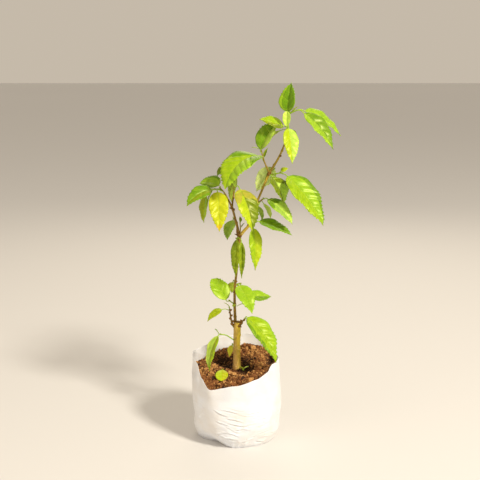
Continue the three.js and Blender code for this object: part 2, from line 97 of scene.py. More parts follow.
def blended(first, second, share):
    red, green, blue = (round(a + (b - a) * share) for a, b in zip(split_hex(first), split_hex(second)))
    return red << 16 | green << 8 | blue


class Finish:
    """A material in the making. Each method adds a node and gives back its output."""

    def __init__(self, name):
        self.material = bpy.data.materials.new(name)
        self.material.use_nodes = True
        self.tree = self.material.node_tree
        self.tree.nodes.clear()
        self.place = self.add("TexCoord", {}, "Object")

    def add(self, kind, inputs, output=0, **settings):
        node = self.tree.nodes.new("ShaderNode" + kind)
        for name, value in settings.items():
            setattr(node, name, value)
        for socket, value in inputs.items():
            if isinstance(value, bpy.types.NodeSocket):
                self.tree.links.new(value, node.inputs[socket])
            else:
                node.inputs[socket].default_value = value
        return node.outputs[output] if node.outputs else None

    def noise(self, size_mm, detail, roughness=0.5, place=None):
        """Noise whose features are this many millimetres across."""
        return self.add("TexNoise", {"Vector": place or self.place, "Scale": 1 / (size_mm * MM),
                                     "Detail": detail, "Roughness": roughness}, "Fac")

    def axis(self, letter):
        return self.add("SeparateXYZ", {0: self.place}, letter)

    def ramp(self, value, low, high, start=0.0, stop=1.0):
        """Turns low to high into start to stop."""
        return self.add("MapRange", {0: value, 1: low, 2: high, 3: start, 4: stop})

    def mix(self, share, first, second, **settings):
        """Mixes two colours, each a hex value or the output of a node."""
        first, second = (linear(tone) if isinstance(tone, int) else tone for tone in (first, second))
        return self.add("Mix", {0: share, 6: first, 7: second}, 2, data_type="RGBA", **settings)

    def maths(self, operation, *values):
        return self.add("Math", dict(enumerate(values)), operation=operation)

    def bump(self, height, strength, distance_mm):
        return self.add("Bump", {"Strength": strength, "Distance": distance_mm * MM, "Height": height})

    def done(self, colour, roughness, inputs=None):
        shader = self.add("BsdfPrincipled", {"Base Color": colour, "Roughness": roughness, **(inputs or {})})
        self.add("OutputMaterial", {"Surface": shader})
        return self.material


print("pure white is", linear(0xFFFFFF)[:3])

# %% [markdown]
# ## Floor and light
# The floor is a plain pale sheet. The sun of the picture comes from the right, in front and above, and
# leaves the left third of the bag in soft shade. A large lamp stands in for it, wide dim ones fill the
# shade from the left and from behind, and a pale surrounding light keeps the far side readable.

# %% Floor and lamps
FLOOR_HALF = 30.0
WORLD_COLOUR, WORLD_STRENGTH = 0xF4E6D2, 0.62
LAMPS = {  # place, target, size, watts and colour
    "sun_lamp": ((2.1, -2.5, 2.8), (0.0, 0.0, 0.25), 0.7, 178, 0xFFF6E6),
    "left_fill": ((-1.8, -1.4, 1.0), (0.0, 0.0, 0.25), 1.6, 8, 0xFFEBD2),
    "back_fill": ((0.2, 1.8, 1.5), (0.0, 0.0, 0.3), 1.4, 8, 0xFFF0D8),
}

paint = Finish("pale_floor")
spots = paint.add("TexNoise", {"Scale": 3.0, "Detail": 3.0}, "Fac")
floor_mesh = bpy.data.meshes.new("floor")
corners = [(x * FLOOR_HALF, y * FLOOR_HALF, 0) for x, y in ((-1, -1), (1, -1), (1, 1), (-1, 1))]
floor_mesh.from_pydata(corners, [], [(0, 1, 2, 3)])
floor_mesh.materials.append(paint.done(paint.mix(spots, 0xDCDBDA, 0xE6E5E4), 0.7))
floor = add_object("floor", floor_mesh)

for name, (place, target, size, watts, colour) in LAMPS.items():
    lamp = bpy.data.lights.new(name, "AREA")
    lamp.shape = "DISK"
    lamp.size = size
    lamp.energy = watts
    lamp.color = linear(colour)[:3]
    holder = add_object(name, lamp)
    holder.location = place
    holder.rotation_euler = (Vector(target) - Vector(place)).to_track_quat("-Z", "Y").to_euler()

world = bpy.data.worlds.new("pale_room")
world.use_nodes = True
background = world.node_tree.nodes["Background"]
background.inputs["Color"].default_value = linear(WORLD_COLOUR)
background.inputs["Strength"].default_value = WORLD_STRENGTH
bpy.context.scene.world = world
bpy.context.scene.view_settings.view_transform = "Standard"
print("floor of", 2 * FLOOR_HALF, "m and", len(LAMPS), "lamps")

# %% [markdown]
# ## Smooth paths and tubes
# A stem is a round tube that follows a bent line and tapers. A curve object with a bevel could do it, but
# the bark needs ridges, rings and swellings on its surface, so the tube is made ring by ring as a mesh. The
# bent line is a smooth curve through a few points. It is weighted by the gaps between them, so that it
# makes no loops, and the rings are carried along it without twist.

# %% Paths, tubes and pieces
PATH_STEPS = 24
ANY_SIDE = (0.31, 0.95, 0.05)


def smooth_path(points):
    """A dense line through a few points, as an array of places in mm."""
    p = np.array(points, float)
    ends = [2 * p[0] - p[1], *p, 2 * p[-1] - p[-2]]
    u = np.linspace(0, 1, PATH_STEPS, endpoint=False)[:, None]
    line = []
    for before, start, stop, after in zip(ends, ends[1:], ends[2:], ends[3:]):
        steps = (start - before, stop - start, after - stop)
        first, gap, last = (max(np.linalg.norm(step), 1e-6) ** 0.5 for step in steps)
        leave = gap * (steps[0] / first - (stop - before) / (first + gap) + steps[1] / gap)
        arrive = gap * (steps[1] / gap - (after - start) / (gap + last) + steps[2] / last)
        line.append((2 * u**3 - 3 * u**2 + 1) * start + (u**3 - 2 * u**2 + u) * leave
                    + (3 * u**2 - 2 * u**3) * stop + (u**3 - u**2) * arrive)
    return np.concatenate([*line, p[-1:]])


def distances(line):
    """How far along a line each of its places is."""
    return np.concatenate([[0], np.cumsum(np.linalg.norm(np.diff(line, axis=0), axis=1))])


def resample(line, fractions):
    """Places at fractions of a line's length."""
    reach = distances(line)
    wanted = np.asarray(fractions) * reach[-1]
    return np.stack([np.interp(wanted, reach, line[:, axis]) for axis in range(3)], axis=1)


def spread_values(values, fractions):
    """A few evenly spaced values read at fractions from 0 to 1."""
    return np.interp(fractions, np.linspace(0, 1, len(values)), values)


def unit(vectors):
    return vectors / np.maximum(np.linalg.norm(vectors, axis=-1, keepdims=True), 1e-9)


def closed_rings(rings, first_middle, last_middle):
    """A closed body from rings of places, with a middle place at each end: vertices, faces, face slots."""
    count, around = rings.shape[:2]
    index = np.arange(count * around).reshape(count, around)
    after = np.roll(index, -1, axis=1)
    faces = np.stack([index[:-1], after[:-1], after[1:], index[1:]], axis=-1).reshape(-1, 4).tolist()
    faces += [(index.size, b, a) for a, b in zip(index[0].tolist(), after[0].tolist())]
    faces += [(index.size + 1, a, b) for a, b in zip(index[-1].tolist(), after[-1].tolist())]
    return np.concatenate([rings.reshape(-1, 3), [first_middle, last_middle]]), faces, [0] * len(faces)


def tube(line, radii, sides, relief=None):
    """A closed round body along a line. relief(distance, angle) adds to its radius."""
    ahead = unit(np.gradient(line, axis=0))
    side = np.zeros_like(line)
    side[0] = unit(np.cross(ahead[0], ANY_SIDE))
    for i in range(1, len(line)):
        side[i] = unit(side[i - 1] - ahead[i] * np.dot(side[i - 1], ahead[i]))
    angles = np.arange(sides) * 2 * math.pi / sides
    spread = np.repeat(np.asarray(radii, float)[:, None], sides, axis=1)
    if relief:
        spread = spread + relief(distances(line)[:, None], angles[None, :])
    cosines, sines = np.cos(angles)[:, None], np.sin(angles)[:, None]
    outward = cosines * side[:, None] + sines * np.cross(ahead, side)[:, None]
    return closed_rings(line[:, None] + spread[..., None] * outward, line[0], line[-1])


def with_slot(shape, slot):
    vertices, faces, _ = shape
    return vertices, faces, [slot] * len(faces)


def make_piece(name, shapes, materials, nodes, smooth=True):
    """Joins closed shapes, given in mm, into one piece that stands for CAD nodes."""
    offset = 0
    vertices, faces, slots = [], [], []
    for places, shape_faces, shape_slots in shapes:
        vertices.append(np.asarray(places) * MM)
        faces += [tuple(index + offset for index in face) for face in shape_faces]
        slots += shape_slots
        offset += len(places)
    mesh = bpy.data.meshes.new(name)
    mesh.from_pydata(np.concatenate(vertices).tolist(), [], faces)
    for material in materials:
        mesh.materials.append(material)
    mesh.polygons.foreach_set("material_index", slots)
    mesh.polygons.foreach_set("use_smooth", [smooth] * len(faces))
    tidy = bmesh.new()
    tidy.from_mesh(mesh)
    bmesh.ops.recalc_face_normals(tidy, faces=tidy.faces)
    tidy.to_mesh(mesh)
    tidy.free()
    piece = add_object(name, mesh)
    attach(piece, "root")
    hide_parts(*nodes)


print("a path through 3 points has", len(smooth_path([(0, 0, 0), (1, 0, 1), (1, 0, 3)])), "places")

# %% [markdown]
# ## Bark
# Young hibiscus bark is thin and satin, brown on the leader and olive to yellow where the sun falls, with
# fine lengthwise ridges and pale corky dots. The old cutting is thicker and more golden. A stretched noise
# gives the ridges, a pattern of cells the dots, and a slow noise drifts between two bark colours. Real
# ridges are about 0.3 mm wide, which is finer than a pixel here, so they are drawn at 0.8 mm.

# %% Bark materials
BARK_RIDGE_MM, BARK_DOT_MM, BARK_DRIFT_MM = 0.8, 2.6, 14.0
BARK_STRETCH = (1.0, 1.0, 0.12)
SHADE_WAVER, SHADE_FROM, SHADE_TO = 6 * MM, -1 * MM, 5 * MM
FOOT_TONE_TOP, FOOT_TONE_BOTTOM, FOOT_TONE_SHARE = 168 * MM, 128 * MM, 0.6


def bark_material(name, dark, light, dot, foot=None):
    """Bark that drifts from a dark to a light tone.

    With a foot tone it is the old cutting's, whose two tones lie as painted shade and painted light: dark on
    its left, away from the sun, and light on its right."""
    bark = Finish(name)
    share = bark.noise(BARK_DRIFT_MM, 4.0)
    if foot:
        # Painted shade and light: the old cutting darkens to its left, away from the sun, and lightens to its
        # right.
        wavering = bark.maths("MULTIPLY_ADD", share, SHADE_WAVER, bark.axis("X"))
        share = bark.ramp(wavering, SHADE_FROM, SHADE_TO)
    tone = bark.mix(share, dark, light)
    if foot:
        near_foot = bark.ramp(bark.axis("Z"), FOOT_TONE_BOTTOM, FOOT_TONE_TOP, FOOT_TONE_SHARE, 0.0)
        tone = bark.mix(near_foot, tone, foot)
    stretched = bark.add("Mapping", {0: bark.place, 3: BARK_STRETCH})
    ridges = bark.noise(BARK_RIDGE_MM, 5.0, place=stretched)
    streaked = bark.mix(1.0, tone, bark.ramp(ridges, 0.35, 0.65, 0.72, 1.12), blend_type="MULTIPLY")
    cells = bark.add("TexVoronoi", {"Vector": bark.place, "Scale": 1 / (BARK_DOT_MM * MM)}, "Distance")
    dots = bark.ramp(cells, 0.16, 0.24, 0.7, 0.0)
    bump = bark.bump(bark.maths("ADD", ridges, dots), 0.6, 0.4)
    return bark.done(bark.mix(dots, streaked, dot), 0.62, {"IOR": 1.45, "Normal": bump})


# The old cutting's dark and light tones are painted shade on its left and painted light on its right.
old_bark = bark_material("old_cutting_bark", 0xCEAC52, 0xFADC3C, 0xF6E8B4, foot=0xB88A58)
brown_bark = bark_material("young_brown_bark", 0x6A4C0A, 0xAE8A26, 0xC8A85C)
olive_bark = bark_material("young_olive_bark", 0x947418, 0xC4AA38, 0xDCCC84)
print("bark materials:", old_bark.name, brown_bark.name, olive_bark.name)

# %% [markdown]
# ## The woody limbs
# Each limb tapers from point to point, with a swollen ring at each old leaf scar and a collar where it
# grows out of its parent. The rings, collars and long ridges are part of the mesh, so they also show along
# the outline. The limbs have the same points and radii as the solids.

# %% Limbs
STEM_FOOT, STEM_TOP, FORK = 119, 200, 346
KNOT = (51, 10, 446)
KNOB = (82, 4, 545)
LIMBS = {  # points, radii, bark, how far along the leaf scars are, and sides
    "cut_stem": ([(-1.5, 0, STEM_FOOT), (-1.4, 0, 140), (-1, 0, 170), (-0.5, 0, STEM_TOP)],
                 [7, 6, 5.8, 5.9, 6.1], old_bark, [34, 58], 64),
    "leader": ([(-3.6, 0, STEM_TOP - 3), (-4.6, 0, 220), (-4.7, 1, 253), (-1.6, 1, 285), (1, 0, 318),
                (3, 0, FORK)], [2.5, 2.2, 2.0, 1.9, 2.0, 3.4], brown_bark, [12, 33, 64, 96, 142], 32),
    "left_bough": ([(1.6, 0, FORK - 1), (0, -1, 358), (-4, -2, 374), (-9, -4, 392), (-15, -7, 405)],
                   [2.6, 2.1, 1.8, 1.8, 1.4], brown_bark, [22, 47], 24),
    "middle_bough": ([(-8.5, -4, 390), (-8, 0, 399), (-6.5, 3, 410), (-6, 4, 417)],
                     [1.4, 1.3, 1.2], brown_bark, [18], 24),
    "right_bough": ([(4, 0, FORK - 1), (10, 1, 352), (18, 2, 361), (26, 3, 380), (31, 4, 398), (39, 7, 417),
                     KNOT], [2.6, 2.3, 2, 1.8, 1.8, 2.6], olive_bark, [22, 40, 61, 88], 28),
    "upper_bough": ([KNOT, (59, 12, 458), (68, 11, 474), (76, 9, 494), (80, 7, 512)],
                    [2.2, 1.8, 1.6, 1.5, 1.4], olive_bark, [16, 42], 24),
}
RING_STEP = 0.6
SCAR_HEIGHT, SCAR_WIDTH = 0.55, 1.5
COLLAR_HEIGHT, COLLAR_WIDTH = 0.5, 1.8
RIDGE_WAVES = 6
RIDGE_SHARE = 0.035


def limb_shape(points, radii, scars, sides, seed, collar):
    """A tapered limb with ridges, and a swelling at each scar, higher on the side the leaf sat on."""
    line = smooth_path(points)
    length = distances(line)[-1]
    fractions = np.linspace(0, 1, int(length / RING_STEP))
    spread = spread_values(radii, fractions)
    if collar:
        spread = spread + COLLAR_HEIGHT * np.exp(-((fractions * length) / COLLAR_WIDTH) ** 2)
    phases = np.random.default_rng(seed).uniform(0, 2 * math.pi, RIDGE_WAVES)

    def relief(distance, angle):
        total = RIDGE_SHARE * radii[0] * sum(
            np.sin((3 + 2 * i) * angle + phase + 0.08 * (i + 1) * distance) / (2 + i)
            for i, phase in enumerate(phases))
        for number, scar in enumerate(scars):
            facing = 1 + 0.6 * np.cos(angle - 2.4 * number - seed)
            total = total + SCAR_HEIGHT * facing * np.exp(-((distance - scar) / SCAR_WIDTH) ** 2)
        return total

    return tube(resample(line, fractions), spread, sides, relief)


for number, (name, (points, radii, bark, scars, sides)) in enumerate(LIMBS.items()):
    shape = limb_shape(points, radii, scars, sides, number + 1, name != "cut_stem")
    make_piece(f"{name}_bark", [shape], [bark], [name])
    print(name, "faces:", len(shape[1]))

# %% [markdown]
# ## The sawn top of the cutting
# The cutting was sawn off slanting a little, and the saw left a dark weathered face with a soft pith in its
# middle. A wave pattern round the stem's axis gives the growth rings, 1.8 mm apart so that they can be seen.
# The face is a disc with a worn, uneven edge, laid on the flat end of the stem.

# %% Sawn top
SAWN_RADII = 6.0 * np.array([1.0, 1.02, 1.02, 0.98, 0.9])
SAWN_THICKNESS = 0.6
SAWN_RINGS_MM, SAWN_FIBRE_MM = 1.7756, 0.7
WAVE_PERIOD = math.pi / 10
SAWN_SIDES = 48

sawn = Finish("sawn_weathered_wood")
rings = sawn.add("TexWave", {"Vector": sawn.place, "Scale": WAVE_PERIOD / (SAWN_RINGS_MM * MM),
                             "Distortion": 2.5, "Detail": 3.0, "Detail Scale": 2.0}, "Fac",
                 wave_type="RINGS", rings_direction="Z")
fibrous = sawn.maths("MULTIPLY", rings, sawn.noise(SAWN_FIBRE_MM, 4.0))
sawn_wood = sawn.done(sawn.mix(fibrous, 0x4A3018, 0xB08A4C), 0.85, {"Normal": sawn.bump(fibrous, 0.7, 0.4)})


def worn_edge(distance, angle):
    return 0.25 * np.sin(3 * angle + 1) + 0.12 * np.sin(7 * angle) + 0 * distance


layers = np.linspace(-SAWN_THICKNESS, SAWN_THICKNESS, len(SAWN_RADII))[:, None] * (0, 0, 1)
sawn_face = tube(np.array(LIMBS["cut_stem"][0][-1], float) + layers, SAWN_RADII, SAWN_SIDES, worn_edge)
make_piece("cut_stem_sawn_top", [sawn_face], [sawn_wood], ["cut_stem"])
print("sawn top faces:", len(sawn_face[1]))

# %% [markdown]
# ## Leaf finishes
# A hibiscus leaf is a thin waxy sheet. Its upper face is glossy, its underside paler and duller, and light
# comes through it, which makes the young leaves glow yellow. Subsurface scattering gives that glow in so
# thin a body. Each leaf half has one plain colour with a soft mottle, and the raised veins are faces of
# their own, so their paler colour sits exactly on them. Real leaf cells are too fine to show, so the
# surface grain is drawn at 0.5 mm.

# %% Leaf materials
# Many of these tones are partly painted light and shade. sunny, bright, light and grey are pale tones of
# painted light for halves that are sunlit or lit from behind. The dark tones on one half of a folded leaf are
# painted shade.
LEAF_TONES = {
    "lime": 0x96B60C, "yellow_lime": 0xB2C618, "yellow": 0xBEC214, "gold": 0xCEAC1E, "fresh": 0x92BA1E,
    "mid": 0x68920E, "glossy": 0x618F08, "deep": 0x56820E, "olive": 0x94A408, "dark_olive": 0x687A0A,
    "grey": 0xE4F2BC, "pale": 0xA6C44A, "light": 0xD2F064, "moss": 0x809406, "dry": 0xB2A83C,
    "sunny": 0xBADC58, "mint": 0x9CC04A, "bright": 0xE0DC3C,
}
LEAF_PARTS = {  # tint, its share, and roughness
    "blade": (0, 0, 0.34), "vein": (0xDEE47C, 0.25, 0.42), "underside": (0xB4C468, 0.5, 0.6),
}
MOTTLE_DARK, MOTTLE_LIGHT = 0x3C6800, 0xE8EC50
LEAF_MOTTLE_MM, LEAF_GRAIN_MM = 7.0, 0.5
LEAF_GLOW = 0.18
LEAF_COAT = {"IOR": 1.4, "Specular IOR Level": 0.65, "Specular Tint": (1.0, 1.0, 0.45, 1.0),
             "Subsurface Radius": (0.9, 1.0, 0.25), "Subsurface Scale": 1.2 * MM}
leaf_materials = {}


def leaf_material(name, colour, roughness, glow):
    leafy = Finish(name)
    mottle = leafy.ramp(leafy.noise(LEAF_MOTTLE_MM, 4.0, 0.6), 0.35, 0.7)
    grain = leafy.noise(LEAF_GRAIN_MM, 2.0)
    tone = leafy.mix(mottle, blended(colour, MOTTLE_DARK, 0.16), blended(colour, MOTTLE_LIGHT, 0.14))
    gloss = leafy.ramp(grain, 0.3, 0.7, roughness - 0.05, roughness + 0.08)
    bump = leafy.bump(grain, 0.25, 0.12)
    return leafy.done(tone, gloss, {**LEAF_COAT, "Subsurface Weight": glow, "Normal": bump})


def leaf_finish(tone, part):
    """The material of a tone's blade, vein or underside, made when it is first asked for."""
    key = f"leaf_{tone}_{part}"
    if key not in leaf_materials:
        tint, share, roughness = LEAF_PARTS[part]
        leaf_materials[key] = leaf_material(key, blended(LEAF_TONES[tone], tint, share), roughness, LEAF_GLOW)
    return leaf_materials[key]


stalk_green = leaf_material("green_stalk", 0x9CBF3A, 0.5, 0.1)
stalk_brown = leaf_material("brown_stalk", 0x8A6A2C, 0.55, 0.0)
bud_brown = leaf_material("bud_scale", 0x7E4A28, 0.6, 0.0)
print("leaf tones:", len(LEAF_TONES))

# %% [markdown]
# ## The blade of a leaf
# The blade could be a flat card with a picture of a leaf on it, but then it has no veins to catch the light
# and no toothed edge. Here it is a grid whose rows run along the side veins, from the midrib out to the
# teeth. The sheet bulges between the veins, folds at the midrib, ripples at the margin and bends along its
# length. Its outline, place, bend and roll are worked out as in the solids.

# %% Blade
BLADE_THICKNESS = 0.45
FOOT_POWER = 0.6
TIP_HALF_WIDTH, RIB_HALF_WIDTH = 0.3, 0.55
SIDE_COLUMNS = 9
VEIN_GAP = 16.5
FIRST_VEIN, LAST_VEIN = 0.06, 0.95
# Rows from one side vein to the next, and how far out on its tooth each of them ends.
VEIN_ROWS = (-0.04, 0.04, 0.16, 0.30, 0.44, 0.58, 0.72, 0.86)
TOOTH_ROWS = (0.9, 1.0, 0.05, 0.3, 0.6, 0.8, 0.0, 0.5)
LINING_REACH = 0.1
SLANT, TOOTH_SIZE, QUILT, RIPPLE = 0.45, 0.055, 0.0352, 0.014
TIP_START, FOOT_REACH, FOOT_WAVER, MARGIN_COLUMNS = 0.8, 0.18, 0.04, 3
BLADE_PARTS = (("left", "blade"), ("right", "blade"), ("left", "vein"), ("right", "vein"),
               ("left", "underside"), ("tip", "blade"), ("left_margin", "blade"), ("right_margin", "blade"),
               ("foot", "blade"))
VEIN, UNDERSIDE, TIP, MARGIN, FOOT = 2, 4, 5, 6, 8


def leaf(start, base, heading, pitch, length, width, tones="mid", bend=30, roll=0, fold=14, taper=1.1,
         margins="", foot=None):
    """A leaf: where its stalk starts on the spray's stem, its blade's place and form, and its tones.

    tones is one for both halves, or left, right and perhaps tip, and the halves are painted light and shade.
    margins is left and perhaps right: painted shade on margins that curl away from the sun, a painted
    highlight on margins that catch it."""
    left, right, *tip = tones.split() if " " in tones else (tones, tones)
    named = dict(left=left, right=right, **dict(zip(("left_margin", "right_margin"), margins.split())))
    if tip:
        named["tip"] = tip[0]
    if foot:
        named["foot"] = foot
    return SimpleNamespace(start=start, base=base, heading=heading, pitch=pitch, length=length, width=width,
                           tones=named, bend=bend, roll=roll, fold=fold, taper=taper)


def smoothstep(low, high, values):
    share = np.clip((values - low) / (high - low), 0, 1)
    return share * share * (3 - 2 * share)


def blade_half_width(fraction, width, taper):
    widest = FOOT_POWER / (FOOT_POWER + taper)
    rise = (fraction / widest) ** FOOT_POWER
    fall = (np.clip(1 - fraction, 0, 1) / (1 - widest)) ** taper
    return np.maximum(TIP_HALF_WIDTH, width / 2 * rise * fall)


def level_direction(heading):
    return np.array([math.cos(heading), math.sin(heading), 0.0])


def midrib(spec, fraction):
    """Place, left side and upper side along the arched midrib, and the direction it runs in."""
    angles = (spec.pitch + spec.bend / 2, spec.bend, spec.heading, spec.roll)
    start, turn, heading, roll = (math.radians(angle) for angle in angles)
    now = start - turn * np.asarray(fraction, float)[..., None]
    forward, up = level_direction(heading), np.array([0.0, 0.0, 1.0])
    level_left = level_direction(heading + math.pi / 2)
    scale = spec.length / turn
    place = (np.array(spec.base, float) + forward * scale * (math.sin(start) - np.sin(now))
             + up * scale * (np.cos(now) - math.cos(start)))
    ahead = forward * np.cos(now) + up * np.sin(now)
    left = level_left * math.cos(roll) + np.cross(ahead, level_left) * math.sin(roll)
    return place, left, np.cross(ahead, left), ahead


def blade_rows(length):
    """Row centres and offsets, whether a row lines a vein, its place between veins, and its tooth."""
    pairs = int(np.clip(round(length / VEIN_GAP), 3, 8))
    gap = (LAST_VEIN - FIRST_VEIN) / pairs
    rows = [(0, 0, 0, 0, 0), (FIRST_VEIN * 0.4, 0, 0, 0.5, 0)]
    for pair in range(pairs):
        for offset, tooth in zip(VEIN_ROWS, TOOTH_ROWS):
            centre, shift = FIRST_VEIN + gap * pair, offset * gap
            if abs(offset) < LINING_REACH:
                rows.append((centre, shift, 1, offset, tooth))
            else:
                rows.append((centre + shift, 0, 0, offset, tooth))
    rows += [(end, 0, 0, 0, 0) for end in (LAST_VEIN, 0.98, 1)]
    return np.array(rows, float).T


def blade_shape(spec, seed):
    """A closed blade: vertices, faces, and for each face its place in BLADE_PARTS."""
    length, width, taper = spec.length, spec.width, spec.taper
    dice = np.random.default_rng(seed)
    phases = dice.uniform(0, 2 * math.pi, 2)
    waves = dice.uniform(2.0, 3.2)
    centre, offset, lining, between, tooth = blade_rows(length)
    rib = RIB_HALF_WIDTH * (1 - 0.75 * centre) * min(1.0, 0.35 + length / 90)
    rib_share = np.clip(rib / blade_half_width(centre, width, taper), 0.02, 0.45)[:, None]
    out = rib_share + (1 - rib_share) * np.linspace(0, 1, SIDE_COLUMNS)
    bulge = np.sin(math.pi * np.clip(between, 0, 1))[:, None] * np.sqrt(out * (1.02 - out))
    halves = []
    for side, phase in zip((1, -1), phases):
        row = centre[:, None] + offset[:, None] * (1 - 0.7 * out)
        swept = SLANT * width / length * out * smoothstep(0, 0.2, row) * (1 - row) * 1.25
        s = np.clip(row + swept, 0, 1)
        reach = blade_half_width(s, width, taper)
        toothed = smoothstep(0.14, 0.36, row) * (1 - smoothstep(0.93, 1.0, row)) * smoothstep(0.7, 1.0, out)
        bite = TOOTH_SIZE * width * (tooth[:, None] - 0.4) * toothed
        across = out * reach + bite
        s = np.clip(s + 0.35 * bite / length, 0, 1)
        place, left, face, _ = midrib(spec, s)
        quilt = QUILT * length * bulge * smoothstep(0, 0.12, s) * (1 - smoothstep(0.85, 1, s))
        ripple = RIPPLE * length * out**2 * np.sin(2 * math.pi * waves * s + phase) * smoothstep(0, 0.3, s)
        lift = across * math.tan(math.radians(spec.fold)) * (1.2 - 0.5 * out) + quilt + ripple
        halves.append(place + left * (side * across)[..., None] + face * lift[..., None])
    middle, _, face, _ = midrib(spec, centre)
    middle = middle - face * (0.35 * rib)[:, None]
    top = np.concatenate([halves[0][:, ::-1], middle[:, None], halves[1]], axis=1)
    normal = unit(np.cross(np.gradient(top, axis=1), np.gradient(top, axis=0)))
    facing = np.sign(np.sum(normal * face[:, None], axis=-1, keepdims=True))
    bottom = top - normal * facing * BLADE_THICKNESS
    rows, columns = top.shape[:2]
    index = np.arange(rows * columns).reshape(rows, columns)
    faces, parts = [], []
    for i in range(rows - 1):
        vein_row = lining[i] and lining[i + 1] and centre[i] == centre[i + 1]
        for j in range(columns - 1):
            a = i * columns + j
            b, c, d = a + 1, a + columns + 1, a + columns
            right = int(j >= columns // 2)
            on_rib = j in (columns // 2 - 1, columns // 2)
            edged = ("left_margin", "right_margin")[right] in spec.tones
            part = right
            if on_rib or vein_row:
                part = VEIN + right
            # Foot and margin tones are mostly painted shade. The margins of two leaves are a painted
            # highlight, and the dry foot is a real dry patch.
            elif "foot" in spec.tones and centre[i] + FOOT_WAVER * math.sin(0.8 * j) < FOOT_REACH:
                part = FOOT
            elif "tip" in spec.tones and centre[i] > TIP_START:
                part = TIP
            elif edged and min(j, columns - 2 - j) < MARGIN_COLUMNS:
                part = MARGIN + right
            faces += [(a, b, c, d), tuple(k + index.size for k in (a, d, c, b))]
            parts += [part, VEIN + right if on_rib else UNDERSIDE]
    rim = np.concatenate([index[0], index[1:, -1], index[-1, -2::-1], index[-2:0:-1, 0]]).tolist()
    faces += [(a, a + index.size, b + index.size, b) for a, b in zip(rim, rim[1:] + rim[:1])]
    parts += [UNDERSIDE] * len(rim)
    return np.concatenate([top.reshape(-1, 3), bottom.reshape(-1, 3)]), faces, parts


print("a 100 mm blade has", len(blade_shape(leaf(0, (0, 0, 0), 0, 0, 100, 45), 1)[1]), "faces")

# %% [markdown]
# ## Stalks, stipules and buds
# A long thin stalk carries each blade and runs on under it as the raised midrib, getting thinner to the
# tip. Where the stalk leaves the stem there is a small swelling, two thread-like stipules and a scaly bud,
# which are what tell a hibiscus from most other shrubs. All of them are thin tubes with a changing radius.

# %% Stalks and buds
STALK_RADII = (1.15, 0.85, 0.78, 0.8, 0.95)
STALK_RINGS, STALK_SIDES = 16, 10
STALK_REACH, STALK_ARRIVAL = 0.14, 0.35
RIB_FRACTIONS = np.linspace(0.03, 0.86, 12)
STIPULE_LENGTH = (3.5, 6.5)
THREAD_RADIUS = 0.22
BUD_RADII = (0.5, 0.95, 1.05, 0.8, 0.45, 0.08)


def stalk_shape(start, spec):
    """The stalk from the stem to the blade's foot, and the rib on the underside that it turns into."""
    foot, _, _, ahead = midrib(spec, 0.0)
    before = foot - STALK_ARRIVAL * np.linalg.norm(foot - start) * ahead
    inside = midrib(spec, STALK_REACH)[0]
    shares = np.linspace(0, 1, STALK_RINGS)
    free = resample(smooth_path([start, before, foot, inside])[:2 * PATH_STEPS + 1], shares)
    place, _, face, _ = midrib(spec, RIB_FRACTIONS)
    thick = min(1.0, 0.4 + spec.length / 100)
    rib_radii = 0.62 * thick * (1 - 0.82 * RIB_FRACTIONS)
    rib = place - face * (BLADE_THICKNESS * 0.5 + rib_radii * 0.35)[:, None]
    radii = np.concatenate([spread_values(STALK_RADII, shares) * thick, rib_radii])
    return tube(np.concatenate([free, rib]), radii, STALK_SIDES)


def thread_shape(start, direction, length, droop):
    """A stipule: a thread that leaves the stem and curls over."""
    t = np.linspace(0, 1, 7)[:, None]
    line = start + direction * length * t + np.array([0, 0, -droop]) * t**2
    return tube(line, THREAD_RADIUS * (1 - 0.85 * t[:, 0]), 5)


def bud_shape(start, direction, length, width=1.0):
    """A scaly bud: a small pointed egg with a ridged skin."""
    t = np.linspace(0, 1, 12)

    def scales(distance, angle):
        return 0.12 * width * np.sin(3 * angle + 2.2 * distance) * (distance < length * 0.8)

    return tube(start + direction * length * t[:, None], spread_values(BUD_RADII, t) * width, 12, scales)


def random_direction(dice, upward):
    direction = level_direction(dice.uniform(0, 2 * math.pi))
    return unit(direction + (0, 0, upward + dice.uniform(-0.3, 0.5)))


print("a stalk has", len(stalk_shape(np.zeros(3), leaf(0, (20, 0, 5), 0, 0, 60, 30))[1]), "faces")

# %% [markdown]
# ## The sprays of leaves
# Each spray is a short stem that grows from a limb and carries its leaves. They have the same places as in
# the solids, so that every leaf of the picture is where it should be. Each leaf has a tone for the half on
# its own left and one for the other half, painted light and shade, because the sun lights the two halves of
# a folded leaf differently. Some have one for the tip, where old leaves yellow first, and some one for the
# foot, painted shade where it lies in the shade of its neighbours and a real dry patch on one leaf. Some have
# margin tones: painted shade where the margins curl away from the sun, a painted highlight where they catch
# it. Leaves at the back, which the picture does not show, are set out by the same seeded rule as in the
# solids.

# %% Sprays
GREEN_STEM, BROWN_STEM, BUD_SCALE = 0, 1, 2
SPRAYS = {}


def spray(name, slot, bark, stem, radii, *leaves, hidden=None):
    """A stem and its leaves. hidden is the seed, heading and drop of the leaf at the back, if it has one."""
    SPRAYS[name] = SimpleNamespace(slot=slot, bark=bark, stem=stem, radii=radii, leaves=leaves, hidden=hidden)


spray("top_spray", "leaf_lime", GREEN_STEM, [(80, 7, 510), (81, 6, 524), (82, 4, 535), KNOB], [1.4, 1.2, 1.5],
      leaf(0.55, (80, 1, 545), 54, 78, 47, 31, "glossy", bend=18, fold=24, margins="fresh"),
      leaf(0.3, (78, -4, 522.5), 84, 84, 24, 13, "light pale", bend=10, taper=0.5),
      leaf(0.9, (106, -10, 543), -23, -49, 74, 33, "mid fresh", bend=34, roll=24),
      leaf(0.95, (108, 2, 546), 12, -34, 73, 34, "fresh", bend=34, roll=30),
      leaf(0.3, (81, -5, 519), -72, -71, 58, 26, "sunny yellow_lime"),
      leaf(0.4, (73, -3, 523), -155, 15, 44, 26, "olive lime", bend=8, roll=-42, margins="dark_olive",
           foot="dark_olive"),
      leaf(0.2, (70, 11, 515), 145, -35, 22, 13, "olive gold"),
      leaf(1, (87, -1, 545), 20, 40, 13, 7, "olive dark_olive"), hidden=(11, 84, 12))
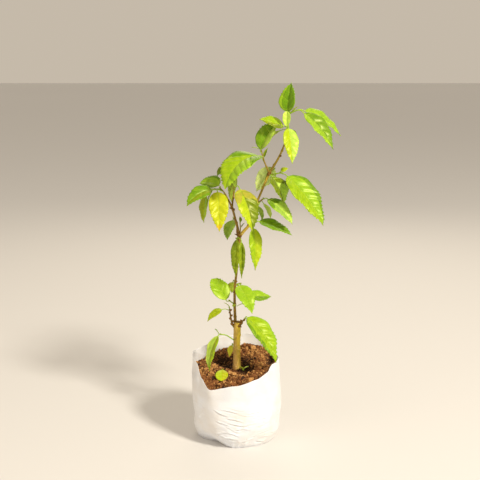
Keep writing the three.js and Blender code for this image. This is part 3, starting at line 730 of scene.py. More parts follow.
spray("arching_spray", "leaf_mid", BROWN_STEM,
      [KNOT, (47, 6, 456), (43, 1, 466), (40, -3, 476), (38, -4, 484)], [1.5, 1.2, 1],
      leaf(0.75, (34, -11, 476), -141, -35, 91, 55, "fresh lime", bend=84, fold=9, roll=-12, taper=0.9,
           foot="glossy"),
      leaf(0.9, (37, -7, 486), 14, 58, 47, 30, "mid pale", bend=24, fold=35, roll=40, taper=0.7),
      leaf(0.6, (43, 4, 473), 40, 62, 16, 7, "olive dark_olive"),
      leaf(1, (34, -4, 487), 175, 8, 12, 7, "lime olive"), hidden=(5, 160, -10))
spray("left_spray", "leaf_deep", BROWN_STEM,
      [(-14.5, -7, 404), (-19, -8, 413), (-24, -8, 420), (-28, -8, 424)], [1.3, 1.1, 0.9],
      leaf(1, (-30, 0, 427), 152, 2, 38, 30, "fresh", bend=50, roll=-34, margins="mid mid"),
      leaf(0.9, (-41, -15, 422), -153, -28, 52, 27, "moss mid", bend=58, roll=-36, margins="mid mid"),
      leaf(0.8, (-51, -6, 412), -125, -82, 45, 24, "lime olive", bend=20, roll=20),
      leaf(0.85, (-42, 2, 416), 176, -72, 22, 11, "olive"),
      leaf(0.7, (-32, -17, 419), -82, -68, 66, 32, "yellow yellow gold", bend=34), hidden=(3, 114, 2))
spray("middle_spray", "leaf_lime", BROWN_STEM, [(-6, 4, 416), (-6, 4, 420), (-5.5, 5, 424)], [1.2, 1.1, 0.9],
      leaf(0.35, (4, -16, 423), -56, -61, 74, 41, "dark_olive yellow_lime", bend=44, fold=8, foot="dry"),
      leaf(1, (-3, 12, 438), 138, -77, 42, 20, "dark_olive", bend=24),
      leaf(0.9, (-23, 10, 456), 178, -56, 18, 9, "deep dark_olive", roll=-70), hidden=(9, 48, 18))
spray("inner_spray", "leaf_mid", BROWN_STEM, [(31, 4, 398), (36, 2, 401), (41, -2, 405)], [1.4, 1.2, 0.9],
      leaf(1, (49, -9, 406), -30, -40, 59, 30, "sunny mint", bend=34, roll=16, foot="mid"),
      leaf(0.8, (43, 18, 395), 30, -64, 30, 18, "light"),
      leaf(0.55, (35, -9, 370), -11, -21, 58, 27, "mid", bend=20, roll=24))
spray("inner_leaf", "leaf_deep", BROWN_STEM, [(29, 4, 391), (31, 9, 394), (33, 13, 394)], [1.2, 1, 0.8],
      leaf(1, (34, 16, 391), 42, -71, 28, 12, "deep dark_olive"))
spray("drooping_leaf", "leaf_lime", GREEN_STEM, [(20, 2, 366), (22, 6, 366), (24, 8, 362)], [1.2, 1, 0.8],
      leaf(1, (26, 7, 356), -63, -85, 70, 24, "yellow_lime lime", bend=26))
spray("right_spray", "leaf_lime", GREEN_STEM,
      [KNOT, (56, 7, 444), (62, 2, 446), (69, -3, 448)], [1.5, 1.3, 1],
      leaf(0.3, (56, -1, 441), -46, -57, 49, 34, "sunny dark_olive", bend=40, fold=18, foot="dark_olive"),
      leaf(1, (80, -8, 443), -31, -49, 100, 49, "fresh lime", bend=28, roll=20, margins="mid"),
      leaf(0.8, (70, 2, 450), 10, 20, 13, 8, "olive yellow_lime", roll=60), hidden=(7, 58, 10))
spray("knot_leaf", "leaf_grey", BROWN_STEM, [(51, 11, 446), (53, 15, 450), (55, 18, 452)], [1.3, 1.1, 0.9],
      leaf(1, (60, 20, 452), 172, -52, 48, 32, "grey", bend=20, roll=62))
spray("fork_shoot", "leaf_mid", BROWN_STEM, [(4, -1, 347), (4.5, -5, 358), (4, -5, 367)], [1.1, 1, 0.8],
      leaf(1, (5, -6, 369), 110, 66, 9, 5, "olive dark_olive"),
      leaf(0.6, (6, -6, 360), 15, 50, 9, 5, "dark_olive olive"))
spray("fork_pair", "leaf_deep", BROWN_STEM, [(2.6, 0, 341), (2.2, -4, 343), (2, -7, 343)], [1.2, 1.1, 1],
      leaf(0.8, (-1, -9, 340), -110, -84, 61, 16, "moss dark_olive", bend=16, fold=26),
      leaf(1, (6, -8, 336), -80, -87, 60, 12, "dark_olive moss", bend=12, fold=26))
spray("low_left_leaf", "leaf_deep", BROWN_STEM, [(-2, -1, 366), (-4, 5, 371), (-6, 10, 371)], [1.1, 1, 0.8],
      leaf(1, (-8, 14, 368), 122, -64, 40, 22, "deep"))
spray("leader_left_leaf", "leaf_mid", GREEN_STEM,
      [(-4.7, 0, 229), (-9, -1, 233), (-13, -2, 236)], [1.1, 1, 0.9],
      leaf(1, (-19, -3, 238), 140, 44, 45, 30, "fresh", bend=26, roll=-28, taper=0.75),
      leaf(0.2, (-6.5, -5, 227), -75, 40, 10, 6, "yellow_lime lime"),
      leaf(0.05, (1, -4, 229), -25, 20, 11, 6, "olive yellow_lime"))
spray("leader_bud_leaf", "leaf_yellow", GREEN_STEM,
      [(-3.4, 1, 265), (-5, 4, 268), (-6, 7, 268)], [1, 0.9, 0.8],
      leaf(1, (-8, 10, 265), 100, -66, 23, 15, "yellow_lime olive"))
spray("leader_right_leaves", "leaf_mid", GREEN_STEM,
      [(-4, 1, 260), (0, 1, 264), (4, 0, 265)], [1.2, 1.1, 0.9],
      leaf(0.9, (2, -6, 263), -56, -45, 56, 30, "fresh", bend=32, roll=10),
      leaf(1, (19, 9, 241), 29, -8, 43, 23, "fresh mid", bend=8, roll=40), hidden=(8, 55, 14))
spray("stump_left_shoot", "leaf_mid", BROWN_STEM,
      [(-3, -1, 188), (-8, -2, 195), (-11, -3, 206), (-12.5, -4, 218), (-13, -4, 224)], [1.8, 1.5, 1],
      leaf(0.9, (-26, -10, 223), -165, -37, 31, 12, "olive", bend=50, roll=-48),
      leaf(1, (-13.5, -5, 227), -160, 40, 12, 6, "olive"))
spray("stump_right_shoot", "leaf_lime", BROWN_STEM,
      [(0, -1, 190), (6, -4, 197), (9, -8, 204), (12, -13, 209)], [1.6, 1.3, 1.1],
      leaf(1, (16, -17, 212), -30, -52, 89, 40, "lime", bend=44, roll=16, margins="fresh mid"))
spray("low_hanging_leaf", "leaf_mid", GREEN_STEM,
      [(-1, 0, 166), (-9, -5, 172), (-18, -12, 180), (-27, -19, 184)], [1.2, 1, 0.9],
      leaf(1, (-32, -22, 182), -140, -72, 61, 22, "olive pale", bend=46, margins="lime light"),
      leaf(1, (-31, -18, 185), -170, 52, 10, 9, "mid deep", taper=0.6))
spray("basal_back_sprout", "leaf_yellow", GREEN_STEM, [(-2, 0, 150), (-6, 7, 156), (-8, 10, 157.5)],
      [1.1, 1, 0.8], leaf(1, (-9.5, 12, 156), -120, -66, 20, 11, "bright"))
spray("basal_front_sprout", "leaf_yellow", GREEN_STEM,
      [(0, 0, 122), (5, -6, 123), (8, -9, 122)], [1, 0.9, 0.7],
      leaf(0.9, (8, -11, 122.5), -120, 34, 10, 6, "bright sunny"),
      leaf(1, (10, -10, 122), -10, 30, 10, 6, "sunny bright"))
spray("low_round_leaf", "leaf_yellow", GREEN_STEM, [(-22, -12, 116.4), (-22.6, -13, 120), (-24, -16, 122)],
      [1.1, 1, 0.9],
      leaf(1, (-25.5, -20, 123), -92, -24, 26, 21, "yellow yellow_lime", bend=16, fold=6, taper=0.6))
print("sprays:", len(SPRAYS), "with leaves:", sum(len(growth.leaves) for growth in SPRAYS.values()))

# %% [markdown]
# ## Hidden leaves and small growth
# The leaves at the back come from a small random generator of their own, which is written out here because
# the solids use the same one. Each stalk has a bud and a pair of stipules where it leaves the stem, and each
# stem ends in a tuft of folded buds. The wood carries scaly buds of its own, at places read off the picture.

# %% Small growth
HIDDEN_START = (0.3, 0.7)
HIDDEN_LENGTH = (37.4, 50.6)
HIDDEN_WIDTH_SHARE = 0.48
HIDDEN_SPREAD, HIDDEN_PITCH, HIDDEN_BEND, HIDDEN_STALK = 8, -42, 40, 15
WOOD_BUDS = {  # place, direction, length and width
    "leader": [
        ((0, -2, 340), (-0.9, -0.5, 0.5), 4.5, 1.6), ((4, -3, 344), (0.9, -0.6, 0.6), 5.0, 1.7),
        ((1.5, -3, 346), (0.1, -0.7, 1.0), 6.0, 1.7), ((1, 0, 346), (-0.3, -0.3, 1.0), 11.0, 1.9),
        ((-4.8, -1.5, 250), (-1, -0.4, 0.5), 4.0, 1.5), ((-3, -1.5, 268), (0.9, -0.5, 0.6), 4.0, 1.4)],
    "left_bough": [
        ((-7.5, -4, 388), (0.8, -0.6, 0.5), 5.0, 1.9), ((-9, -4, 391), (-0.9, -0.5, 0.1), 5.5, 1.5),
        ((-3, -3, 372), (-0.8, -0.5, 0.5), 4.0, 1.4)],
    "right_bough": [
        ((49.5, 8, 443), (0.2, -0.3, 0.5), 7.0, 2.6), ((52, 9, 446), (0.5, -0.6, 0.1), 4.5, 2.0),
        ((26, 2, 381), (0.8, -0.5, 0.4), 4.5, 1.6), ((31, 3, 397), (-0.8, -0.5, 0.6), 4.5, 1.6)],
    "upper_bough": [
        ((68, 10, 473), (0.8, -0.5, 0.4), 4.5, 1.5), ((80, 6, 508), (-0.7, -0.6, 0.5), 4.5, 1.6)],
    "stump_left_shoot": [
        ((-8, -3, 196), (-0.7, -0.6, 0.6), 6.0, 2.2), ((-9, -3, 201), (0.7, -0.7, 0.5), 6.0, 2.1),
        ((-10.5, -4, 206), (-0.8, -0.6, 0.5), 5.5, 2.0), ((-11, -4, 211), (0.6, -0.7, 0.6), 5.5, 1.8),
        ((-12, -5, 216), (-0.6, -0.6, 0.8), 5.0, 1.6), ((-12, -5, 220), (0.7, -0.4, 0.8), 5.0, 1.4)],
    "stump_right_shoot": [
        ((2, -3, 193), (0.4, -0.8, 0.6), 7.0, 2.8), ((5, -4, 198), (0.6, -0.6, 0.6), 6.0, 2.4),
        ((7, -6, 202), (-0.5, -0.6, 0.8), 6.0, 1.9), ((9, -8, 204), (0.8, -0.2, 0.5), 5.0, 1.6)],
}
WOOD_BUD_SCALES = 3
SPRAY_RINGS, SPRAY_SIDES = 28, 16
SHORTEST_WITH_BUD = 20


def repeatable(seed):
    """Random numbers from low to high, the same ones as in the solids."""
    state = seed * 2654435761 % 2**32

    def draw(low, high):
        nonlocal state
        state = (state * 1664525 + 1013904223) % 2**32
        return low + (high - low) * state / 2**32

    return draw


def hidden_leaf(stem, seed, heading, drop):
    draw = repeatable(seed)
    start = draw(*HIDDEN_START)
    turned = draw(heading - HIDDEN_SPREAD, heading + HIDDEN_SPREAD)
    length = draw(*HIDDEN_LENGTH)
    away = HIDDEN_STALK * level_direction(math.radians(turned))
    base = resample(smooth_path(stem), [start])[0] + away - (0, 0, drop)
    return leaf(start, tuple(base), turned, HIDDEN_PITCH, length, length * HIDDEN_WIDTH_SHARE, "deep mid",
                bend=HIDDEN_BEND)


def node_growth(start, away, dice, stem_slot):
    """What sits where a stalk leaves the stem: a bud in its corner and a pair of stipules."""
    shapes = [with_slot(bud_shape(start, unit(away + (0, 0, 0.9)), dice.uniform(2.6, 3.6)), BUD_SCALE)]
    for turn in (-1, 1):
        sideways = unit(np.cross(away, (0, 0, 1)) * turn + away * 0.5 + (0, 0, dice.uniform(0.2, 0.8)))
        shapes.append(with_slot(thread_shape(start, sideways, dice.uniform(*STIPULE_LENGTH), 1.5), stem_slot))
    return shapes


def tip_growth(end, ahead, dice):
    """The growing tip of a stem: a tuft of folded buds with threads between them."""
    shapes = []
    for _ in range(3):
        direction = unit(ahead + 0.55 * dice.normal(size=3))
        shapes.append(with_slot(bud_shape(end, direction, dice.uniform(3.0, 4.6), 0.8), GREEN_STEM))
        direction = unit(ahead + 0.9 * dice.normal(size=3))
        shapes.append(with_slot(thread_shape(end, direction, dice.uniform(4.0, 6.0), 1.0), BROWN_STEM))
    return shapes


def scaly_bud(spot, direction, length, width, dice):
    """A bud of the wood: an egg in the middle with a few narrower scales that stand off round its foot."""
    spot, ahead = np.array(spot, float), unit(np.array(direction, float))
    shapes = [bud_shape(spot, ahead, length, width)]
    for _ in range(WOOD_BUD_SCALES):
        outward = unit(ahead + 0.75 * dice.normal(size=3))
        shapes.append(bud_shape(spot, outward, length * dice.uniform(0.5, 0.8), width * 0.55))
    return shapes


bud_dice = np.random.default_rng(71)
for name, buds in WOOD_BUDS.items():
    shapes = [shape for bud in buds for shape in scaly_bud(*bud, bud_dice)]
    make_piece(f"{name}_buds", shapes, [bud_brown], [name])

total_faces = 0
for number, (name, growth) in enumerate(SPRAYS.items()):
    dice = np.random.default_rng(100 + number)
    leaves = [*growth.leaves, *([hidden_leaf(growth.stem, *growth.hidden)] if growth.hidden else [])]
    line = resample(smooth_path(growth.stem), np.linspace(0, 1, SPRAY_RINGS))
    length = distances(line)[-1]
    along = np.linspace(0, length, SPRAY_RINGS)
    radii = spread_values(growth.radii, along / length) + 0.4 * np.exp(-(along / 1.4) ** 2)
    stalks = [with_slot(tube(line, radii, SPRAY_SIDES), growth.bark)]
    blades, finishes = [], []
    for order, spec in enumerate(leaves):
        start = resample(line, [spec.start])[0]
        vertices, faces, parts = blade_shape(spec, 1000 * number + order)
        keys = [leaf_finish(spec.tones[side], part) if side in spec.tones else None
                for side, part in BLADE_PARTS]
        finishes += [material for material in keys if material and material not in finishes]
        blades.append((vertices, faces, [finishes.index(keys[part]) for part in parts]))
        stalks.append(with_slot(stalk_shape(start, spec), GREEN_STEM))
        if spec.length > SHORTEST_WITH_BUD:
            away = unit(np.array(spec.base, float) - start)
            stalks += node_growth(start, away, dice, growth.bark)
    stalks += tip_growth(line[-1], unit(line[-1] - line[-3]), dice)
    make_piece(f"{name}_leaves", blades, finishes, [name])
    make_piece(f"{name}_stalks", stalks, [stalk_green, stalk_brown, bud_brown], [name])
    total_faces += sum(len(shape[1]) for shape in blades + stalks)
print("wood buds:", sum(len(buds) for buds in WOOD_BUDS.values()), "faces of the sprays:", total_faces)

# %% [markdown]
# ## The shape of the film bag
# The bag is a flat tube of polythene film, welded across its foot, that stands open because it is packed
# full. A cloth simulation could crumple it, but the creases of the picture lie in known places, so they are
# pressed into the smooth bag by code instead. The smooth shape, with its oval foot, squarish corners and
# uneven mouth, is that of the solid, but for a rim a few millimetres lower at the left and the back.

# %% Smooth bag
BAG_HEIGHT = 135
BAG_HEIGHTS = (0, 5, 14, 22, 32, 62, 96, 135)
BAG_RADII = (56, 60, 64.5, 67.5, 69.5, 73, 72.5, 71)
MOUTH_HEADINGS = np.array([-180, -156, -138, -121, -90, -60, -42, -24, 10, 50, 72, 100, 135, 158, 180])
MOUTH_HEIGHTS = np.array([140.5, 136, 117, 104, 112, 120, 129, 136, 138, 154.5, 157.5, 155, 145, 141, 140.5])
FOOT_ZONE = 44
FOOT_OVAL, FOOT_SQUARE, FOOT_CORNER = 0.08, 0.05, -14
FOOT_SHIFT, MOUTH_SHIFT = -4, -6
TUCK_HEADING, TUCK_SPREAD, TUCK_ZONE, TUCK_DEPTH = -136, 32, 40, 0.27
profile = smooth_path([(radius, 0, height) for height, radius in zip(BAG_HEIGHTS, BAG_RADII)])


def mouth_height(degrees):
    high = np.clip(np.searchsorted(MOUTH_HEADINGS, degrees), 1, len(MOUTH_HEADINGS) - 1)
    start, stop = MOUTH_HEADINGS[high - 1], MOUTH_HEADINGS[high]
    share = smoothstep(0, 1, (degrees - start) / (stop - start))
    return MOUTH_HEIGHTS[high - 1] + (MOUTH_HEIGHTS[high] - MOUTH_HEIGHTS[high - 1]) * share


def turned_from(heading, degrees):
    """The turn from a heading to others, from -180 to 180 degrees."""
    return (degrees - heading + 180) % 360 - 180


def near_heading(heading, spread, degrees):
    """1 at a heading, less beside it."""
    return np.exp(-(turned_from(heading, degrees) / spread) ** 2)


def bag_shape(degrees, radius, height):
    """Where a place on the round tube of film really is."""
    foot = 1 - np.minimum(height / FOOT_ZONE, 1)
    corner = np.radians(degrees - FOOT_CORNER)
    swell = 1 + foot * (FOOT_OVAL * np.cos(2 * corner) + FOOT_SQUARE * np.cos(4 * corner))
    tuck = TUCK_DEPTH * (1 - np.minimum(height / TUCK_ZONE, 1)) ** 2
    swell = swell - tuck * near_heading(TUCK_HEADING, TUCK_SPREAD, degrees)
    rise = height / BAG_HEIGHT
    x = radius * np.cos(np.radians(degrees)) * swell + foot * FOOT_SHIFT + rise**2 * MOUTH_SHIFT
    y = radius * np.sin(np.radians(degrees)) * swell
    z = height * (1 + (mouth_height(degrees) / BAG_HEIGHT - 1) * rise**2)
    return np.stack(np.broadcast_arrays(x, y, z), axis=-1)


def wall_radius(height):
    return np.interp(height, profile[:, 2], profile[:, 0])


print("mouth heights in mm, front and back:", mouth_height(np.array([-90, 90])))

# %% [markdown]
# ## Creases
# Thin film creases sharply. Each crease is a narrow valley with a lip beside it, between two points of the
# wall given by heading and height. The ones at the front are read off the picture, and a seeded set carries
# them all the way round, thicker toward the foot. Ridged noise adds the small facets between them, and slow
# waves make the free rim wander in and out.

# %% Creases in the film
WALL_ARC = 1.26
WALL_ROUND = 72
FRONT_CREASES = (  # heading and height of both ends, and depth
    (-121, 75, -101, 62, 2.6), (-111, 77, -86, 69, 2.3), (-78, 66, -53, 69, 1.8), (-105, 60, -82, 53, 2.0),
    (-119, 53, -100, 44, 1.7), (-104, 50, -74, 43, 1.9), (-88, 36, -72, 37, 1.9), (-101, 34, -77, 32, 1.3),
    (-112, 22, -86, 17, 2.0), (-70, 58, -48, 52, 1.2), (-64, 40, -42, 44, 1.0), (-104, 12, -80, 9, 1.6),
    (-60, 24, -36, 30, 1.3),
)
SEEDED_CREASES = 90
CREASE_WIDTH = 1.15
FILM_OUTSET = 1.3
LEAN_HEADING, LEAN_SPREAD, LEAN_DEPTH = -158, 20, 6.0
FLARE_HEADING, FLARE_SPREAD, FLARE_DEPTH = 62, 30, 9.0


def seeded_crease(dice):
    heading, height = dice.uniform(-180, 180), 8 + 92 * dice.beta(1.1, 1.9)
    length, tilt = dice.uniform(12, 34), math.radians(dice.normal(0, 17))
    depth = dice.uniform(0.5, 1.7)
    if -125 < heading < -45:
        depth *= 0.65 if height > 45 else 1.25
    ahead, up = length * math.cos(tilt) / WALL_ARC, length * math.sin(tilt)
    return heading, height, heading + ahead, height + up, depth


def crease_depth(degrees, height, crease):
    start, low, stop, high, depth = crease
    length = math.hypot((stop - start) * WALL_ARC, high - low)
    ahead = np.array([(stop - start) * WALL_ARC, high - low]) / length
    arc = turned_from(start, degrees) * WALL_ARC
    along = arc * ahead[0] + (height - low) * ahead[1]
    across = (height - low) * ahead[0] - arc * ahead[1] + 0.5 * np.sin(along * 0.2 + start)
    fade = np.sin(math.pi * np.clip(along / length, 0, 1)) ** 0.7
    valley = np.exp(-np.abs(across) / CREASE_WIDTH)
    lip = 0.7 * np.exp(-((across - 1.9 * CREASE_WIDTH) / (1.3 * CREASE_WIDTH)) ** 2)
    return depth * fade * (lip - valley)


def noise_field(places, size, seed):
    """Noise at each place of an array, with features of a size in mm."""
    shift = Vector((seed, 2.7 * seed, 0))
    values = [noise.noise(Vector(place) / size + shift) for place in places.reshape(-1, 3).tolist()]
    return np.array(values).reshape(places.shape[:-1])


crease_dice = np.random.default_rng(41)
ALL_CREASES = [*FRONT_CREASES, *(seeded_crease(crease_dice) for _ in range(SEEDED_CREASES))]


def crumple(degrees, height):
    """How far the wall is pushed out or in at a heading and a height, in mm."""
    total = sum(crease_depth(degrees, height, crease) for crease in ALL_CREASES)
    turn = np.radians(degrees)
    places = np.stack([WALL_ROUND * np.cos(turn), WALL_ROUND * np.sin(turn), 1.7 * height], axis=-1)
    facets, small = np.abs(noise_field(places, 46, 1)), np.abs(noise_field(places, 17, 4))
    low = 1 - smoothstep(50, 100, height)
    pleats = np.abs(np.sin(turn * 9 + 2.5 * np.sin(turn * 4))) * (1 - smoothstep(3, 26, height))
    soft = 1.3 * np.sin(turn * 5 + 0.8) + 0.9 * np.sin(turn * 9 + 2.0) + 0.6 * np.sin(turn * 14 + 0.3)
    free = smoothstep(70, 135, height)
    packed = 1 - smoothstep(118, 135, height) * 0.5
    leaning = LEAN_DEPTH * near_heading(LEAN_HEADING, LEAN_SPREAD, degrees)
    flaring = FLARE_DEPTH * near_heading(FLARE_HEADING, FLARE_SPREAD, degrees)
    return (total * (0.25 + 0.75 * low) * packed - (0.5 + 1.7 * low) * facets - 0.7 * low * small
            - 1.3 * pleats + (0.25 + 0.75 * free) * soft - smoothstep(108, 135, height) * (leaning - flaring)
            + FILM_OUTSET)


def film_place(degrees, height, inset=0.0):
    """A place on the film's outer face, or inside it by an inset."""
    return bag_shape(degrees, wall_radius(height) + crumple(degrees, height) - inset, height)


print("creases:", len(ALL_CREASES))

# %% [markdown]
# ## The film
# White polythene film is opaque, smooth and a little glossy, with a faint crinkle too fine to model, and a
# filled bag on a garden floor picks up a film of dust and small brown splashes low down. Two noises give
# the dust and the splashes, and a height ramp keeps the splashes near the floor. The crinkle is drawn at
# 4 mm. A little subsurface lets light through the thin film.

# %% Film material
CLEAN_FILM, DUSTY_FILM, SPLASHED_FILM = 0xE9ECF2, 0xE0D8CD, 0xA9804E
FILM_CRINKLE_MM, FILM_DUST_MM, FILM_SPLASH_MM = 4.0, 38.0, 3.2
SPLASH_FROM, SPLASH_TO = 4 * MM, 34 * MM

film = Finish("white_polythene_film")
dust = film.ramp(film.noise(FILM_DUST_MM, 5.0), 0.42, 0.78, 0.0, 0.7)
splashes = film.ramp(film.noise(FILM_SPLASH_MM, 3.0), 0.66, 0.74)
low_down = film.ramp(film.axis("Z"), SPLASH_FROM, SPLASH_TO, 0.85, 0.0)
film_tone = film.mix(film.maths("MULTIPLY", splashes, low_down), film.mix(dust, CLEAN_FILM, DUSTY_FILM),
                     SPLASHED_FILM)
crinkle = film.bump(film.noise(FILM_CRINKLE_MM, 4.0, 0.55), 0.35, 0.5)
film_material = film.done(film_tone, 0.42, {
    "IOR": 1.51, "Subsurface Weight": 0.35, "Subsurface Radius": (1.0, 0.95, 0.85),
    "Subsurface Scale": 2.0 * MM, "Normal": crinkle})
print("film:", film_material.name)

# %% [markdown]
# ## The bag as a closed shell
# The outer face is a grid round the bag and up its wall, closed by a flat underside. The inner face is the
# same grid moved in along its own normals, so the film keeps one thickness in every crease. Real film is
# 0.1 mm thick. It is drawn at 0.5 mm so that the rim shows. Deep down, where the mix hides it, the inner
# face is a smooth wall that lies inside of every crease, so that it can do with few rows.

# %% Grow bag
BAG_COLUMNS, BAG_ROWS, FOOT_RINGS = 420, 170, 6
FILM_THICKNESS = 0.5
INNER_FINE_FROM = 120
HIDDEN_HEIGHTS = np.array([92, 70, 45, 20, 6])[:, None]
HIDDEN_WALL_INSET = 6.0
RIM_WAVE, RIM_WAVE_SIZE = 2.2, 26

columns = np.arange(BAG_COLUMNS) * 360 / BAG_COLUMNS - 180
heights = np.linspace(0, BAG_HEIGHT, BAG_ROWS)
outer = film_place(np.tile(columns, (BAG_ROWS, 1)), np.tile(heights[:, None], (1, BAG_COLUMNS)))
rim_wave = noise_field(outer[-1], RIM_WAVE_SIZE, 8)
outer[..., 2] += RIM_WAVE * rim_wave[None, :] * smoothstep(100, 135, heights)[:, None]
round_wall = (np.roll(outer, -1, axis=1) - np.roll(outer, 1, axis=1)) / 2
normals = unit(np.cross(round_wall, np.gradient(outer, axis=0)))
inner = (outer - normals * FILM_THICKNESS)[INNER_FINE_FROM:][::-1]
hidden = bag_shape(columns[None, :], wall_radius(HIDDEN_HEIGHTS) - HIDDEN_WALL_INSET, HIDDEN_HEIGHTS)

shares = np.linspace(0, 1, FOOT_RINGS + 1)[1:, None, None]
foot_middle = np.array([FOOT_SHIFT, 0.0, 0.0])
inner_middle = np.array([FOOT_SHIFT, 0.0, hidden[-1, :, 2].mean()])
underside = foot_middle + (outer[0] - foot_middle) * shares[:-1]
inside_floor = inner_middle + (hidden[-1] - inner_middle) * shares[-2::-1]
bag = closed_rings(np.concatenate([underside, outer, inner, hidden, inside_floor]), foot_middle, inner_middle)
make_piece("grow_bag_film", [bag], [film_material], ["grow_bag"])
print("bag faces:", len(bag[1]), "widest in mm:", round(float(np.ptp(outer[..., 0])), 1))

# %% [markdown]
# ## The growing mix
# The mix is coir and soil: a bed of brown crumbs and clods with fibres, bright where it is dry and nearly
# black in the moist, shaded hollows beside the stem. A flat brown face would look like cardboard, so the
# surface is a fine polar grid with hollows and lumps, and loose crumbs, clods and fibres lie on it. The bed
# is brown, and dark in its hollows, a dark that is partly moist coir and partly painted shade. The crumbs and
# clods are dark, brown or dry, with a little pale grit.

# %% Mix materials
MIX_MOTTLE_MM, MIX_GRAIN_MM = 2.4, 0.7
DRY, BROWN, MOIST_AND_SHADE, GRIT = 0, 1, 2, 3
# The darkest coir is moist coir, and in the hollows it is also painted shade.
MIX_TONES = {
    "dry_coir": (0x96602E, 0xD8A868), "brown_coir": (0x5C3418, 0x9C6636),
    "moist_and_shaded_coir": (0x24140A, 0x4A2C16), "pale_grit": (0xA98358, 0xE0C493),
}


def mix_material(name, dark, light):
    mix = Finish(name)
    mottle = mix.ramp(mix.noise(MIX_MOTTLE_MM, 6.0, 0.65), 0.36, 0.66)
    bump = mix.bump(mix.noise(MIX_GRAIN_MM, 3.0), 0.8, 0.5)
    return mix.done(mix.mix(mottle, dark, light), 0.92, {"IOR": 1.4, "Normal": bump})


mix_finishes = [mix_material(name, *tones) for name, tones in MIX_TONES.items()]
print("mix materials:", [material.name for material in mix_finishes])

# %% [markdown]
# ## The surface of the mix
# The surface sinks from the rim to the middle like a bowl, lower at the back and the left. Slow waves and
# three sizes of noise roughen it. The hollows and mounds, and the flat seats under the stem and the fallen
# round leaf, are set where the picture shows them.

# %% The surface of the mix
MIX_MIDDLE = 118
MIX_DROP, MIX_DROP_BACK, MIX_DROP_LEFT = 12.5, 8.5, 6.5
MIX_BOWL, MIX_RIM_POWER = 1.6, 4
MIX_WALL_GAP = 0.8
# Each lump is a wave: its height, how fast it turns along x and y, and where it starts.
MIX_LUMPS = ((1.2, 0.21, 0.14, 1.3), (0.8, -0.12, 0.24, 0.4), (0.6, 0.47, -0.33, 0.7))
NOISE_LEVEL = 7.0
# Each spot is x, y, how wide and deep it is on the plan, and its height or strength.
HOLLOWS = ((-24, 34, 15, 20, 11.0), (-14, 14, 8, 12, 6.0), (14, -8, 11, 17, 11.0), (12, 22, 9, 18, 7.0),
           (56, 14, 8, 24, 8.0), (-64, 10, 7, 14, 6.0))
MOUNDS = ((34, 34, 14, 20, 5.0), (-9, 54, 8, 7, 4.0), (-40, -20, 13, 12, 3.0), (16, 56, 14, 6, 1.5),
          (-34, 52, 8, 6, 4.0), (-2, -38, 22, 12, 2.0))
DRY_PATCHES = ((-54, -14, 17, 24, 0.55),)
SEATS = ((-1.5, 0, 10, 119.4), (-22, -12, 4, 116.3))  # x, y, radius and height


def bumps(x, y, spots):
    """What a set of spots adds up to at a place."""
    return sum(depth * np.exp(-((x - a) / wide) ** 2 - ((y - b) / deep) ** 2)
               for a, b, wide, deep, depth in spots)


def mix_surface(fraction, degrees):
    """A place on top of the mix: 0 is the middle, 1 the rim, in a direction."""
    turn = np.radians(degrees)
    wanted = mouth_height(degrees) - (MIX_DROP + MIX_DROP_BACK * np.sin(turn) - MIX_DROP_LEFT * np.cos(turn))
    height = wanted
    for _ in range(20):
        height = wanted / (1 + (mouth_height(degrees) / BAG_HEIGHT - 1) * (height / BAG_HEIGHT) ** 2)
    rim = film_place(degrees, height, FILM_THICKNESS + MIX_WALL_GAP)
    x = rim[..., 0] * fraction + MOUTH_SHIFT * (1 - fraction)
    y = rim[..., 1] * fraction
    waves = sum(a * np.sin(x * b + y * c + d) for a, b, c, d in MIX_LUMPS) * (1 - fraction**MIX_RIM_POWER)
    places = np.stack([x, y, np.full_like(x, NOISE_LEVEL)], axis=-1)
    rough = (2.4 * noise_field(places, 13, 11) + 1.5 * np.abs(noise_field(places, 5.5, 12))
             + 1.1 * noise_field(places, 2.6, 13))
    z = MIX_MIDDLE + (rim[..., 2] - MIX_MIDDLE) * fraction**MIX_BOWL + waves + rough
    z = z + bumps(x, y, MOUNDS) - bumps(x, y, HOLLOWS)
    for a, b, radius, seat_height in SEATS:
        near = np.exp(-(np.hypot(x - a, y - b) / radius) ** 4)
        z = z * (1 - near) + seat_height * near
    return np.stack([x, y, z], axis=-1)


def in_hollow(x, y):
    return bumps(x, y, HOLLOWS) / 8


sample = mix_surface(np.array([0.0, 1.0]), np.array([0.0, 90.0]))
print("mix heights in mm, middle and back:", sample[:, 2].round(1))

# %% [markdown]
# ## The bed
# The bed is the surface closed by a smooth hidden wall and foot inside the bag. Its faces are brown, or
# moist and dark where they lie in a hollow, with a ragged edge between the two. That dark is partly painted
# shade.

# %% Mix body
MIX_COLUMNS, MIX_RINGS = 300, 80
HIDDEN_INSET = 9.0
WALL_HEIGHTS = np.array([2, 8, 20, 45, 70, 88])[:, None]

degrees = np.arange(MIX_COLUMNS) * 360 / MIX_COLUMNS - 180
fractions = np.linspace(1, 0, MIX_RINGS + 1)[:-1]
top = mix_surface(np.tile(fractions[:, None], (1, MIX_COLUMNS)), np.tile(degrees, (MIX_RINGS, 1)))
wall = bag_shape(degrees[None, :], wall_radius(WALL_HEIGHTS) - HIDDEN_INSET, WALL_HEIGHTS)
foot = foot_middle + (wall[:1] - foot_middle) * np.array([0.4, 0.8])[:, None, None]
middle = mix_surface(np.array([0.0]), np.array([0.0]))[0]
vertices, faces, _ = closed_rings(np.concatenate([foot, wall, top]), foot_middle + (0, 0, 2), middle)
centres = np.array([np.mean(vertices[list(face)], axis=0) for face in faces])
ragged = np.random.default_rng(6).normal(0, 0.25, len(faces))
# Faces in the hollows take the dark coir: moist coir and painted shade.
slots = np.where(in_hollow(centres[:, 0], centres[:, 1]) + ragged > 0.3, MOIST_AND_SHADE, BROWN).tolist()
make_piece("mix_bed", [(vertices, faces, slots)], mix_finishes[:GRIT], ["growing_mix"])
print("mix bed faces:", len(faces))

